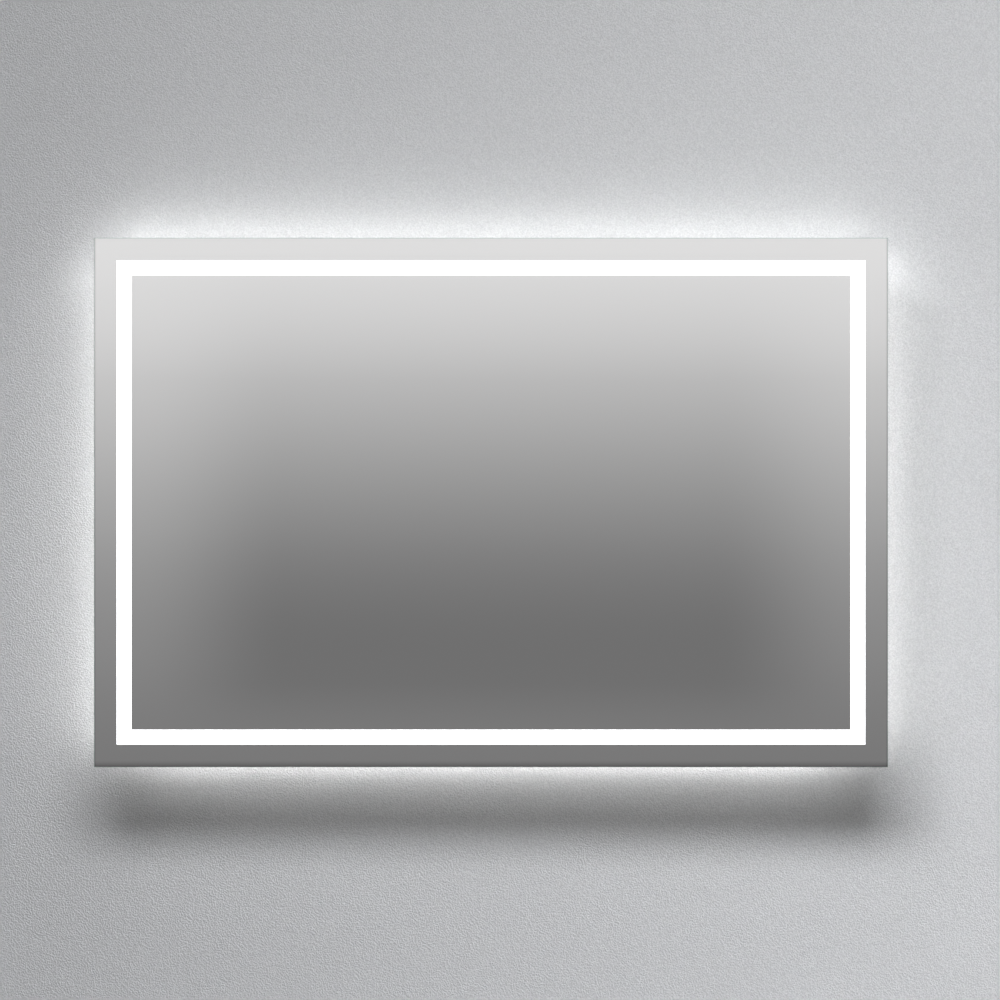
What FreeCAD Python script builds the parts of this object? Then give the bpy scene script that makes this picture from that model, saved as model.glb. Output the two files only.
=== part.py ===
import FreeCAD, Part

import math
import os
from types import SimpleNamespace

import Sketcher

# Lighted bathroom mirror, front lit and back lit, millimetres, +Z up, front towards -Y.
#
# A silvered pane with an etched light band is bonded to a mitred aluminium frame. Each frame bar is one
# extrusion: an open light chamber behind the band, a halo channel in its outer flank, a hollow for the
# corner keys and a ledge for the rear panel. Strips of light-emitting diodes lie in the chamber and in the
# halo channel behind opal acrylic. The rear panel carries the driver, the wiring box and a hook-shaped
# cleat, and the cleat hangs on a rail that is screwed to the wall.
#
# The origin is the middle of the rail's screw line, on the wall's surface. The mirror lifts straight up
# off the rail.

# --- sizes -------------------------------------------------------------------------------------------------

DRIVING_SIZES = {
    # pane
    "glass_width": 914.4,
    "glass_height": 609.6,
    "glass_thickness": 5.0,
    "glass_arris": 1.0,
    "band_inset": 26.0,
    "band_width": 17.3,
    "etch_depth": 0.2,
    # frame bars, all one extrusion
    "frame_depth": 27.0,
    "frame_wall": 1.5,
    "chamber_margin": 6.5,
    "window_margin": 1.5,
    "halo_room": 6.0,
    "halo_window": 15.0,
    "hook_thickness": 1.0,
    "hook_reach": 1.2,
    "rib_reach": 2.0,
    "rib_thickness": 1.0,
    "ledge_width": 12.0,
    "slide_fit": 0.2,
    "groove_depth": 5.5,
    "groove_wall": 1.2,
    # corner keys
    "key_width": 7.0,
    "key_height": 9.0,
    "key_arm": 40.0,
    "key_tip": 2.0,
    "key_fit": 0.1,
    # bonding tape and acrylic
    "tape_thickness": 1.0,
    "tape_width": 10.0,
    "tape_setback": 1.0,
    "diffuser_thickness": 2.0,
    "halo_diffuser_thickness": 1.5,
    # strips of diodes
    "strip_thickness": 0.4,
    "front_strip_width": 10.0,
    "halo_strip_width": 8.0,
    "strip_end_room": 8.0,
    "link_width": 3.0,
    "link_thickness": 0.8,
    "diode_pitch": 33.3,
    "diode_length": 3.5,
    "diode_width": 2.8,
    "diode_height": 0.8,
    # demister foil
    "demister_width": 420.0,
    "demister_height": 260.0,
    "demister_above_driver": 180.0,
    "demister_thickness": 0.5,
    "demister_corner": 12.0,
    "demister_tab_length": 24.0,
    "demister_tab_width": 14.0,
    "demister_tab_thickness": 3.0,
    # rear panel
    "panel_thickness": 1.0,
    "panel_fit": 0.4,
    "panel_screw_edge": 6.0,
    "panel_screw_end": 45.0,
    "swage_length": 420.0,
    "swage_width": 16.0,
    "swage_depth": 2.0,
    "swage_below_rail": 110.0,
    "swage_spacing": 120.0,
    "vent_length": 18.0,
    "vent_width": 3.0,
    "vent_pitch": 12.0,
    "vent_gap": 6.0,
    # hexagon-head tapping screws
    "screw_head_radius": 3.2,
    "screw_head_height": 2.0,
    "screw_radius": 1.5,
    "screw_length": 6.0,
    "screw_fit": 0.05,
    "screw_hole_room": 0.4,
    # wall rail, hanging cleat and spacers
    "wall_gap": 9.0,
    "rail_below_edge": 134.8,
    "rail_length": 560.0,
    "rail_metal": 2.0,
    "rail_foot": 10.0,
    "rail_shoulder": 8.0,
    "hook_play": 0.7,
    "hook_top": 22.0,
    "hook_depth": 12.0,
    "tip_chamfer": 0.5,
    "cleat_length": 500.0,
    "cleat_flange": 20.0,
    "wall_slot_spacing": 406.4,
    "wall_slot_length": 14.0,
    "wall_hole_spacing": 160.0,
    "wall_hole_radius": 2.75,
    "spacer_radius": 10.0,
    "spacer_inset": 95.0,
    # driver
    "driver_length": 180.0,
    "driver_width": 52.0,
    "driver_height": 20.0,
    "driver_wall": 1.6,
    "driver_across": 150.0,
    "driver_above_edge": 124.8,
    "driver_ear": 12.0,
    "driver_port_spacing": 16.0,
    "driver_lid_thickness": 2.0,
    "driver_lid_rim": 2.5,
    # wiring box, cover, inlet and terminal block
    "box_length": 80.0,
    "box_width": 50.0,
    "box_depth": 16.0,
    "box_metal": 1.0,
    "box_flange": 9.0,
    "box_across": -90.0,
    "inlet_offset": -22.0,
    "inlet_radius": 4.0,
    "grommet_neck_radius": 6.5,
    "grommet_flange_radius": 9.5,
    "grommet_lip": 1.5,
    "terminal_offset": 18.0,
    "terminal_length": 20.0,
    "terminal_pole": 9.0,
    "terminal_depth": 12.0,
    "terminal_entry": 4.0,
    "terminal_screw_radius": 2.0,
    # leads
    "lead_height": 11.0,
    "mains_lead_width": 5.2,
    "flat_lead_width": 3.2,
    "flat_lead_thickness": 1.8,
    "front_lead_bend": 15.0,
    "halo_lead_bend": 18.0,
    "demister_lead_bend": 9.0,
    "lead_fit": 0.2,
    "bushing_wall": 1.0,
    "bushing_lip": 0.8,
    "feed_across": 290.0,
    "feed_spacing": 24.0,
    "plug_length": 8.0,
    "plug_width": 8.0,
    "clip_wall": 1.5,
    "clip_length": 8.0,
}

PANEL_SCREWS_ACROSS = 4
PANEL_SCREWS_UP = 1
POLES = 3

doc = FreeCAD.newDocument("LightedMirror")
sheet = doc.addObject("Spreadsheet::Sheet", "Sizes")


class Size:
    """A length as both its number and the sheet formula that it comes from."""

    def __init__(self, number, formula):
        self.number = number
        self.formula = formula

    def __add__(self, other):
        return Size(self.number + number_of(other), f"({self.formula} + {formula_of(other)})")

    def __sub__(self, other):
        return Size(self.number - number_of(other), f"({self.formula} - {formula_of(other)})")

    def __mul__(self, factor):
        return Size(self.number * factor, f"({self.formula} * {factor})")

    def __truediv__(self, divisor):
        return Size(self.number / divisor, f"({self.formula} / {divisor})")

    def __neg__(self):
        return Size(-self.number, f"(-{self.formula})")


def number_of(length):
    return length.number if isinstance(length, Size) else float(length)


def formula_of(length):
    return length.formula if isinstance(length, Size) else repr(float(length))


def read_sheet():
    """Fills the sheet with the driving sizes and returns them by name."""
    for row, (alias, number) in enumerate(DRIVING_SIZES.items(), start=1):
        sheet.set(f"A{row}", alias)
        sheet.set(f"B{row}", str(number))
        sheet.setAlias(f"B{row}", alias)
    doc.recompute()
    return SimpleNamespace(**{a: Size(n, f"Sizes.{a}") for a, n in DRIVING_SIZES.items()})


size = read_sheet()
NOTHING = Size(0.0, "0")

# --- places that several pieces share ----------------------------------------------------------------------
# "inset" is measured inwards from the glass edge, "height" forwards from the frame's rear plane.

chamber_outer = size.band_inset - size.chamber_margin
chamber_inner = size.band_inset + size.band_width + size.chamber_margin
outer_web = chamber_outer - size.frame_wall
inner_web = chamber_inner + size.frame_wall
lip_end = outer_web - size.halo_room
window_outer = size.band_inset - size.window_margin
window_inner = size.band_inset + size.band_width + size.window_margin
band_middle = size.band_inset + size.band_width / 2
key_inner = inner_web + size.key_width
key_wall = key_inner + size.frame_wall
ledge_end = inner_web + size.ledge_width

flange_underside = size.frame_depth - size.frame_wall
key_floor = flange_underside - size.key_height
rib_top = flange_underside - size.diffuser_thickness - size.slide_fit
ledge_top = size.panel_thickness + size.frame_wall
rail_above_centre = size.glass_height / 2 - size.rail_below_edge
driver_up = -size.glass_height / 2 + size.driver_above_edge
halo_low = flange_underside - size.halo_window
halo_middle = flange_underside - size.halo_window / 2
halo_seat = lip_end + size.hook_thickness
halo_rib = halo_seat + size.halo_diffuser_thickness + size.slide_fit
glass_rear = size.frame_depth + size.tape_thickness

panel_inset = inner_web + size.panel_fit
panel_half_width = size.glass_width / 2 - panel_inset
panel_half_height = size.glass_height / 2 - panel_inset
panel_screw_across = panel_half_width - size.panel_screw_edge
panel_screw_up = panel_half_height - size.panel_screw_edge
panel_screw_inset = panel_inset + size.panel_screw_edge
screw_hole = size.screw_radius + size.screw_fit
screw_clear_hole = size.screw_radius + size.screw_hole_room
groove_outer = panel_screw_inset - screw_hole
groove_inner = panel_screw_inset + screw_hole
groove_floor = size.panel_thickness + size.groove_depth
rail_gap = size.rail_metal + size.hook_play * 2
box_floor = size.panel_thickness + size.box_depth
mains_half = size.mains_lead_width / 2 + size.lead_fit
flat_half_width = size.flat_lead_width / 2 + size.lead_fit
flat_half_thickness = size.flat_lead_thickness / 2 + size.lead_fit
front_feed = size.feed_across
halo_feed = size.feed_across + size.feed_spacing
front_port_up = driver_up - size.driver_port_spacing / 2
halo_port_up = driver_up + size.driver_port_spacing / 2
demister_tab_low = glass_rear - size.demister_thickness - size.demister_tab_thickness
demister_up = driver_up + size.demister_above_driver
demister_tab_up = demister_up - size.demister_height / 2 + size.demister_tab_length
plug_inner = band_middle + size.front_strip_width / 2

SIDES = {
    # name: (turn about Y in degrees, length of the glass edge, centre's share of width and height)
    "top": (0, size.glass_width, (0, 1)),
    "left": (-90, size.glass_height, (-1, 0)),
    "bottom": (180, size.glass_width, (0, -1)),
    "right": (90, size.glass_height, (1, 0)),
}
CORNERS = {
    "top_right": (0, (1, 1)),
    "top_left": (-90, (-1, 1)),
    "bottom_left": (180, (-1, -1)),
    "bottom_right": (90, (1, -1)),
}
BACKWARD = FreeCAD.Vector(0, 1, 0)
UP = FreeCAD.Vector(0, 0, 1)

# --- drawing and modelling helpers -------------------------------------------------------------------------


def bind(thing, attribute, length):
    """Ties a property of a document object to the sheet."""
    thing.setExpression(attribute, formula_of(length))


def new_body(label):
    body = doc.addObject("PartDesign::Body", label)
    body.Label = label
    return body


def place(thing, across=NOTHING, forward=NOTHING, up=NOTHING, turn=0):
    """Puts a piece in the row frame, turned about Y, with its place tied to the sheet."""
    numbers = FreeCAD.Vector(number_of(across), -number_of(forward), number_of(up))
    thing.Placement = FreeCAD.Placement(numbers, FreeCAD.Rotation(FreeCAD.Vector(0, 1, 0), turn))
    bind(thing, "Placement.Base.x", across)
    bind(thing, "Placement.Base.y", -forward)
    bind(thing, "Placement.Base.z", up)


def place_on_mirror(thing):
    """The mirror's own frame: its middle, on the rear plane of the frame bars."""
    place(thing, forward=size.wall_gap, up=-rail_above_centre)


def place_on_side(thing, side):
    """The frame of one side: the middle of that glass edge, with +Z pointing out of the pane."""
    turn, length, (across, up) = SIDES[side]
    place(
        thing,
        across=size.glass_width * (across / 2),
        forward=size.wall_gap,
        up=size.glass_height * (up / 2) - rail_above_centre,
        turn=turn,
    )


def place_on_corner(thing, corner):
    """The frame of one corner: that corner of the glass, with the pane towards -X and -Z."""
    turn, (across, up) = CORNERS[corner]
    place(
        thing,
        across=size.glass_width * (across / 2),
        forward=size.wall_gap,
        up=size.glass_height * (up / 2) - rail_above_centre,
        turn=turn,
    )


def mirror_placement():
    """place_on_mirror as a plain placement, for a shape that code sets."""
    return FreeCAD.Placement(
        FreeCAD.Vector(0, -size.wall_gap.number, -rail_above_centre.number), FreeCAD.Rotation()
    )


def origin_plane(body, role):
    return next(f for f in body.Origin.OriginFeatures if f.Role == role)


def sketch(body, role, lift=NOTHING):
    """A sketch on one of the body's own origin planes, lifted along the plane's normal."""
    drawing = body.newObject("Sketcher::SketchObject", f"{body.Label}_sketch")
    drawing.AttachmentSupport = [(origin_plane(body, role), "")]
    drawing.MapMode = "FlatFace"
    drawing.AttachmentOffset = FreeCAD.Placement(
        FreeCAD.Vector(0, 0, number_of(lift)), FreeCAD.Rotation()
    )
    bind(drawing, "AttachmentOffset.Base.z", lift)
    return drawing


def front_sketch(body, height=NOTHING):
    """A sketch seen from the front: X across, Z up, at that height above the rear plane."""
    return sketch(body, "XZ_Plane", height)


def section_sketch(body):
    """A sketch of a bar's section: Y across, Z up."""
    return sketch(body, "YZ_Plane")


def fix_point(drawing, geometry, point, across, up):
    """Ties one point of a sketch to its distances from the origin."""
    for kind, length in (("DistanceX", across), ("DistanceY", up)):
        number = drawing.addConstraint(
            Sketcher.Constraint(kind, -1, 1, geometry, point, number_of(length))
        )
        drawing.setExpression(f"Constraints[{number}]", formula_of(length))


def polygon(drawing, corners):
    """A closed outline of straight lines through corners, each a pair of sizes."""
    spots = [FreeCAD.Vector(number_of(a), number_of(u), 0) for a, u in corners]
    following = spots[1:] + spots[:1]
    first = drawing.GeometryCount
    for start, end in zip(spots, following):
        drawing.addGeometry(Part.LineSegment(start, end), False)
    for i in range(len(spots)):
        after = first + (i + 1) % len(spots)
        drawing.addConstraint(Sketcher.Constraint("Coincident", first + i, 2, after, 1))
    for i, (across, up) in enumerate(corners):
        fix_point(drawing, first + i, 1, across, up)


def rectangle(drawing, left, bottom, right, top):
    polygon(drawing, [(left, bottom), (right, bottom), (right, top), (left, top)])


def centred_rectangle(drawing, half_width, half_height, across=NOTHING, up=NOTHING):
    rectangle(drawing, across - half_width, up - half_height, across + half_width, up + half_height)


def circle(drawing, across, up, radius):
    centre = FreeCAD.Vector(number_of(across), number_of(up), 0)
    index = drawing.addGeometry(Part.Circle(centre, UP, number_of(radius)), False)
    number = drawing.addConstraint(Sketcher.Constraint("Radius", index, number_of(radius)))
    drawing.setExpression(f"Constraints[{number}]", formula_of(radius))
    fix_point(drawing, index, 3, across, up)


def slot(drawing, across, up, length, radius):
    """A round-ended slot that lies across, with its length from end to end."""
    reach = length / 2 - radius
    x, z, r, a = (number_of(v) for v in (across, up, radius, reach))
    right = drawing.addGeometry(
        Part.ArcOfCircle(
            Part.Circle(FreeCAD.Vector(x + a, z, 0), UP, r), -math.pi / 2, math.pi / 2
        ),
        False,
    )
    upper = drawing.addGeometry(
        Part.LineSegment(FreeCAD.Vector(x + a, z + r, 0), FreeCAD.Vector(x - a, z + r, 0)), False
    )
    left = drawing.addGeometry(
        Part.ArcOfCircle(
            Part.Circle(FreeCAD.Vector(x - a, z, 0), UP, r), math.pi / 2, 3 * math.pi / 2
        ),
        False,
    )
    lower = drawing.addGeometry(
        Part.LineSegment(FreeCAD.Vector(x - a, z - r, 0), FreeCAD.Vector(x + a, z - r, 0)), False
    )
    for one, other in ((right, upper), (upper, left), (left, lower), (lower, right)):
        drawing.addConstraint(Sketcher.Constraint("Tangent", one, 2, other, 1))
    number = drawing.addConstraint(Sketcher.Constraint("Radius", right, r))
    drawing.setExpression(f"Constraints[{number}]", formula_of(radius))
    fix_point(drawing, right, 3, across + reach, up)
    fix_point(drawing, left, 3, across - reach, up)


def pad(body, drawing, length, both_ways=False, taper=0.0):
    feature = body.newObject("PartDesign::Pad", f"{body.Label}_pad")
    feature.Profile = drawing
    feature.Midplane = both_ways
    feature.TaperAngle = taper
    bind(feature, "Length", length)
    return feature


def pocket(body, drawing, depth, taper=0.0):
    """Cuts along the sketch plane's normal."""
    feature = body.newObject("PartDesign::Pocket", f"{body.Label}_pocket")
    feature.Profile = drawing
    feature.Reversed = True
    feature.TaperAngle = taper
    bind(feature, "Length", depth)
    return feature


def pocket_through(body, drawing):
    """Cuts right through the body, both ways from the sketch."""
    feature = body.newObject("PartDesign::Pocket", f"{body.Label}_pocket")
    feature.Profile = drawing
    feature.Type = "ThroughAll"
    feature.Midplane = True
    return feature


def revolve(body, drawing):
    """Turns a section drawn on the YZ plane about the body's Y axis."""
    feature = body.newObject("PartDesign::Revolution", f"{body.Label}_revolution")
    feature.Profile = drawing
    feature.ReferenceAxis = (origin_plane(body, "Y_Axis"), [""])
    feature.Angle = 360
    return feature


def repeat(body, feature, drawing, axis, span, copies):
    """A linear pattern of a feature, along the sketch's horizontal or vertical axis."""
    pattern = body.newObject("PartDesign::LinearPattern", f"{body.Label}_pattern")
    pattern.Originals = [feature]
    pattern.Direction = (drawing, [axis])
    bind(pattern, "Length", span)
    pattern.Occurrences = copies
    body.Tip = pattern
    return pattern


def group(label, members):
    """Several like solids that share one node."""
    compound = doc.addObject("Part::Compound", label)
    compound.Label = label
    compound.Links = members
    return compound


def coded_piece(label, shape, placement=None):
    """A piece whose shape code makes."""
    piece = doc.addObject("Part::Feature", label)
    piece.Label = label
    piece.Shape = shape
    if placement is not None:
        piece.Placement = placement
    return piece


def at(across, height, up):
    """A point of the mirror's own frame, as plain numbers."""
    return FreeCAD.Vector(number_of(across), -number_of(height), number_of(up))


nodes = []


def node(piece):
    """Notes a piece that has a file of its own."""
    nodes.append(piece)
    return piece


# --- frame bars --------------------------------------------------------------------------------------------


def bar_outline():
    """The extrusion's outline as pairs of inset and height, from its rear outer corner inwards and round."""
    hook_low = halo_low + size.hook_reach
    hook_high = flange_underside - size.hook_reach
    rib_low = rib_top - size.rib_thickness
    return [
        (outer_web, NOTHING),
        (inner_web, NOTHING),
        (inner_web, size.panel_thickness),
        (groove_outer, size.panel_thickness),
        (groove_outer, groove_floor),
        (groove_inner, groove_floor),
        (groove_inner, size.panel_thickness),
        (ledge_end, size.panel_thickness),
        (ledge_end, ledge_top),
        (groove_inner + size.groove_wall, ledge_top),
        (groove_inner + size.groove_wall, groove_floor + size.groove_wall),
        (groove_outer - size.groove_wall, groove_floor + size.groove_wall),
        (groove_outer - size.groove_wall, ledge_top),
        (inner_web, ledge_top),
        (inner_web, key_floor - size.frame_wall),
        (key_wall, key_floor - size.frame_wall),
        (key_wall, size.frame_depth),
        (window_inner, size.frame_depth),
        (window_inner, flange_underside),
        (chamber_inner, flange_underside),
        (chamber_inner, rib_top),
        (chamber_inner - size.rib_reach, rib_top),
        (chamber_inner - size.rib_reach, rib_low),
        (chamber_inner, rib_low),
        (chamber_inner, size.frame_wall),
        (chamber_outer, size.frame_wall),
        (chamber_outer, rib_low),
        (chamber_outer + size.rib_reach, rib_low),
        (chamber_outer + size.rib_reach, rib_top),
        (chamber_outer, rib_top),
        (chamber_outer, flange_underside),
        (window_outer, flange_underside),
        (window_outer, size.frame_depth),
        (lip_end, size.frame_depth),
        (lip_end, hook_high),
        (halo_seat, hook_high),
        (halo_seat, flange_underside),
        (halo_rib, flange_underside),
        (halo_rib, hook_high),
        (halo_rib + size.hook_thickness, hook_high),
        (halo_rib + size.hook_thickness, flange_underside),
        (outer_web, flange_underside),
        (outer_web, halo_low),
        (halo_rib + size.hook_thickness, halo_low),
        (halo_rib + size.hook_thickness, hook_low),
        (halo_rib, hook_low),
        (halo_rib, halo_low),
        (halo_seat, halo_low),
        (halo_seat, hook_low),
        (lip_end, hook_low),
        (lip_end, halo_low - size.frame_wall),
        (outer_web, halo_low - size.frame_wall),
    ]


def in_section(outline):
    """Pairs of inset and height as the section sketch's Y and Z."""
    return [(-height, -inset) for inset, height in outline]


def mitre(body, length):
    """Cuts both ends of a bar at 45 degrees, through the glass corners."""
    reach = ledge_end + size.frame_wall
    beyond = size.frame_wall
    for hand in (1, -1):
        drawing = front_sketch(body)
        end = length / 2
        polygon(
            drawing,
            [
                ((end + beyond) * hand, beyond),
                ((end - reach) * hand, -reach),
                ((end + beyond) * hand, -reach),
            ],
        )
        pocket_through(body, drawing)


def frame_bar(side):
    """One length of the extrusion, mitred at both ends. The bottom one lets the leads through."""
    length = SIDES[side][1]
    body = new_body(f"frame_{side}")
    place_on_side(body, side)
    section = section_sketch(body)
    polygon(section, in_section(bar_outline()))
    hollow = [
        (inner_web, key_floor),
        (key_inner, key_floor),
        (key_inner, flange_underside),
        (inner_web, flange_underside),
    ]
    polygon(section, in_section(hollow))
    pad(body, section, length, both_ways=True)
    mitre(body, length)
    if side == "bottom":
        inner_holes = sketch(body, "XY_Plane", -inner_web)
        for along in (front_feed, halo_feed):
            centred_rectangle(
                inner_holes,
                flat_half_thickness + size.bushing_wall,
                flat_half_width + size.bushing_wall,
                -along,
                -size.lead_height,
            )
        pocket(body, inner_holes, size.frame_wall)
        outer_hole = sketch(body, "XY_Plane", -chamber_outer)
        centred_rectangle(
            outer_hole, flat_half_thickness, flat_half_width, -halo_feed, -size.lead_height
        )
        pocket(body, outer_hole, size.frame_wall)
    return node(body)


# --- corner keys -------------------------------------------------------------------------------------------


def corner_key(corner):
    """A cast angle pressed into the hollows of two bars, with tapered ends to lead it in."""
    body = new_body(f"corner_key_{corner}")
    place_on_corner(body, corner)
    outside = -(inner_web + size.key_fit)
    inside = -(key_inner - size.key_fit)
    end = outside - size.key_arm
    tip = size.key_tip
    drawing = front_sketch(body, key_floor + size.key_fit)
    polygon(
        drawing,
        [
            (outside, outside),
            (outside, end + tip),
            (outside - tip / 2, end),
            (inside + tip / 2, end),
            (inside, end + tip),
            (inside, inside),
            (end + tip, inside),
            (end, inside + tip / 2),
            (end, outside - tip / 2),
            (end + tip, outside),
        ],
    )
    pad(body, drawing, size.key_height - size.key_fit * 2)
    return node(body)


# --- flat strips that follow one side ----------------------------------------------------------------------


def mitred_strip(label, side, outer, inner, low, high):
    """A strip along one side between two insets and two heights, mitred at its ends."""
    half = SIDES[side][1] / 2
    body = new_body(label)
    place_on_side(body, side)
    drawing = front_sketch(body, low)
    polygon(
        drawing,
        [
            (half - outer, -outer),
            (-(half - outer), -outer),
            (-(half - inner), -inner),
            (half - inner, -inner),
        ],
    )
    pad(body, drawing, high - low)
    return body


def front_diffuser(side):
    """Opal acrylic under the window of the light chamber, slid in above two ribs."""
    return node(
        mitred_strip(
            f"front_diffuser_{side}",
            side,
            chamber_outer + size.slide_fit,
            chamber_inner - size.slide_fit,
            flange_underside - size.diffuser_thickness,
            flange_underside,
        )
    )


def halo_diffuser(side):
    """Opal acrylic in the grooves of the halo channel, in the frame's outer flank."""
    return node(
        mitred_strip(
            f"halo_diffuser_{side}",
            side,
            halo_seat + size.slide_fit / 2,
            halo_rib - size.slide_fit / 2,
            halo_low + size.slide_fit / 2,
            flange_underside - size.slide_fit / 2,
        )
    )


def glass_tape(label, outer):
    """Foam tape between the frame's front flanges and the pane, in four lengths."""
    lengths = [
        mitred_strip(
            f"{label}_{side}", side, outer, outer + size.tape_width, size.frame_depth, glass_rear
        )
        for side in SIDES
    ]
    return node(group(label, lengths))


# --- strips of diodes --------------------------------------------------------------------------------------


def diode_copies(length):
    """How many diodes fit on a strip of that length, at the pitch."""
    return max(2, int(length.number // size.diode_pitch.number))


def front_strip(side):
    """A flexible board on the floor of the light chamber, with its diodes facing the band."""
    length = SIDES[side][1] - (band_middle + size.front_strip_width / 2 + size.strip_end_room) * 2
    copies = diode_copies(length)
    start = -size.diode_pitch * ((copies - 1) / 2)
    body = new_body(f"front_strip_{side}")
    place_on_side(body, side)
    board = front_sketch(body, size.frame_wall)
    centred_rectangle(board, length / 2, size.front_strip_width / 2, up=-band_middle)
    pad(body, board, size.strip_thickness)
    chip = front_sketch(body, size.frame_wall + size.strip_thickness)
    centred_rectangle(
        chip, size.diode_length / 2, size.diode_width / 2, across=start, up=-band_middle
    )
    first = pad(body, chip, size.diode_height)
    repeat(body, first, chip, "H_Axis", size.diode_pitch * (copies - 1), copies)
    return node(body)


def halo_strip(side):
    """A flexible board on the outer web, with its diodes facing outwards through the halo channel."""
    length = SIDES[side][1] - (outer_web + size.strip_end_room) * 2
    copies = diode_copies(length)
    start = -size.diode_pitch * ((copies - 1) / 2)
    body = new_body(f"halo_strip_{side}")
    place_on_side(body, side)
    board = sketch(body, "XY_Plane", -outer_web)
    centred_rectangle(board, length / 2, size.halo_strip_width / 2, up=-halo_middle)
    pad(body, board, size.strip_thickness)
    chip = sketch(body, "XY_Plane", -outer_web + size.strip_thickness)
    centred_rectangle(
        chip, size.diode_length / 2, size.diode_width / 2, across=start, up=-halo_middle
    )
    first = pad(body, chip, size.diode_height)
    repeat(body, first, chip, "H_Axis", size.diode_pitch * (copies - 1), copies)
    return node(body)


def corner_links(label, outer, inner, end, low, high):
    """Soldered links that carry one circuit round three corners, between the ends of its strips."""
    links = []
    for corner in ("bottom_left", "top_left", "top_right"):
        body = new_body(f"{label}_{corner}")
        place_on_corner(body, corner)
        drawing = front_sketch(body, low)
        polygon(
            drawing,
            [
                (-end, -outer),
                (-outer, -outer),
                (-outer, -end),
                (-inner, -end),
                (-inner, -inner),
                (-end, -inner),
            ],
        )
        pad(body, drawing, high - low)
        links.append(body)
    return node(group(label, links))


def front_strip_links():
    return corner_links(
        "front_strip_links",
        band_middle - size.link_width / 2,
        band_middle + size.link_width / 2,
        band_middle + size.front_strip_width / 2 + size.strip_end_room,
        size.frame_wall,
        size.frame_wall + size.link_thickness,
    )


def halo_strip_links():
    return corner_links(
        "halo_strip_links",
        outer_web - size.link_thickness,
        outer_web,
        outer_web + size.strip_end_room,
        halo_middle - size.link_width / 2,
        halo_middle + size.link_width / 2,
    )


# --- pane and demister -------------------------------------------------------------------------------------


def mirror_glass():
    """The pane, with its ground edges and the band where the silvering is blasted away from behind."""
    body = new_body("mirror_glass")
    place_on_mirror(body)
    outline = front_sketch(body, glass_rear)
    centred_rectangle(outline, size.glass_width / 2, size.glass_height / 2)
    pad(body, outline, size.glass_thickness)
    etched = front_sketch(body, glass_rear)
    for inset in (size.band_inset, size.band_inset + size.band_width):
        centred_rectangle(etched, size.glass_width / 2 - inset, size.glass_height / 2 - inset)
    band = pocket(body, etched, size.etch_depth)
    doc.recompute()
    edges = perimeter_edges(band.Shape, size.glass_width.number / 2, size.glass_height.number / 2)
    arris = body.newObject("PartDesign::Chamfer", "mirror_glass_arris")
    arris.Base = (band, edges)
    bind(arris, "Size", size.glass_arris)
    return node(body)


def perimeter_edges(shape, half_width, half_height):
    """Names of the edges that run round the outline of a flat sheet, on its front and its rear."""
    found = []
    for i, edge in enumerate(shape.Edges, start=1):
        box = edge.BoundBox
        flat = box.YLength < 1e-6
        local_x = max(abs(box.XMin), abs(box.XMax))
        local_z = max(abs(box.ZMin), abs(box.ZMax))
        on_side = box.XLength < 1e-6 and abs(local_x - half_width) < 1e-6
        on_end = box.ZLength < 1e-6 and abs(local_z - half_height) < 1e-6
        if flat and (on_side or on_end):
            found.append(f"Edge{i}")
    return found


def demister_pad():
    """A heating foil stuck to the back of the pane, with a moulded tab for its lead."""
    body = new_body("demister_pad")
    place_on_mirror(body)
    foil = front_sketch(body, glass_rear - size.demister_thickness)
    centred_rectangle(foil, size.demister_width / 2, size.demister_height / 2, up=demister_up)
    pad(body, foil, size.demister_thickness)
    tab = front_sketch(body, demister_tab_low)
    centred_rectangle(
        tab, size.demister_tab_width / 2, size.demister_tab_length / 2, size.box_across, demister_tab_up
    )
    whole = pad(body, tab, size.demister_tab_thickness)
    doc.recompute()
    corners = [
        f"Edge{i}"
        for i, edge in enumerate(whole.Shape.Edges, start=1)
        if abs(edge.BoundBox.YLength - size.demister_thickness.number) < 1e-6
    ]
    rounded = body.newObject("PartDesign::Fillet", "demister_pad_corners")
    rounded.Base = (whole, corners)
    bind(rounded, "Radius", size.demister_corner)
    return node(body)


# --- rear panel --------------------------------------------------------------------------------------------


def panel_screw_places():
    """Every screw of the rear panel, as places across and up on the mirror."""
    places = []
    reach = panel_half_width - size.panel_screw_end
    for i in range(PANEL_SCREWS_ACROSS):
        along = reach * (2 * i / (PANEL_SCREWS_ACROSS - 1) - 1)
        places += [(along, panel_screw_up), (along, -panel_screw_up)]
    for i in range(PANEL_SCREWS_UP):
        along = panel_screw_up * (2 * (i + 1) / (PANEL_SCREWS_UP + 1) - 1)
        places += [(panel_screw_across, along), (-panel_screw_across, along)]
    return places


def driver_screw_places():
    reach = size.driver_length / 2 + size.driver_ear / 2
    return [(size.driver_across - reach, driver_up), (size.driver_across + reach, driver_up)]


def cover_screw_places():
    reach = size.box_length / 2 + size.box_metal + size.box_flange / 2
    return [(size.box_across - reach, driver_up), (size.box_across + reach, driver_up)]


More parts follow.
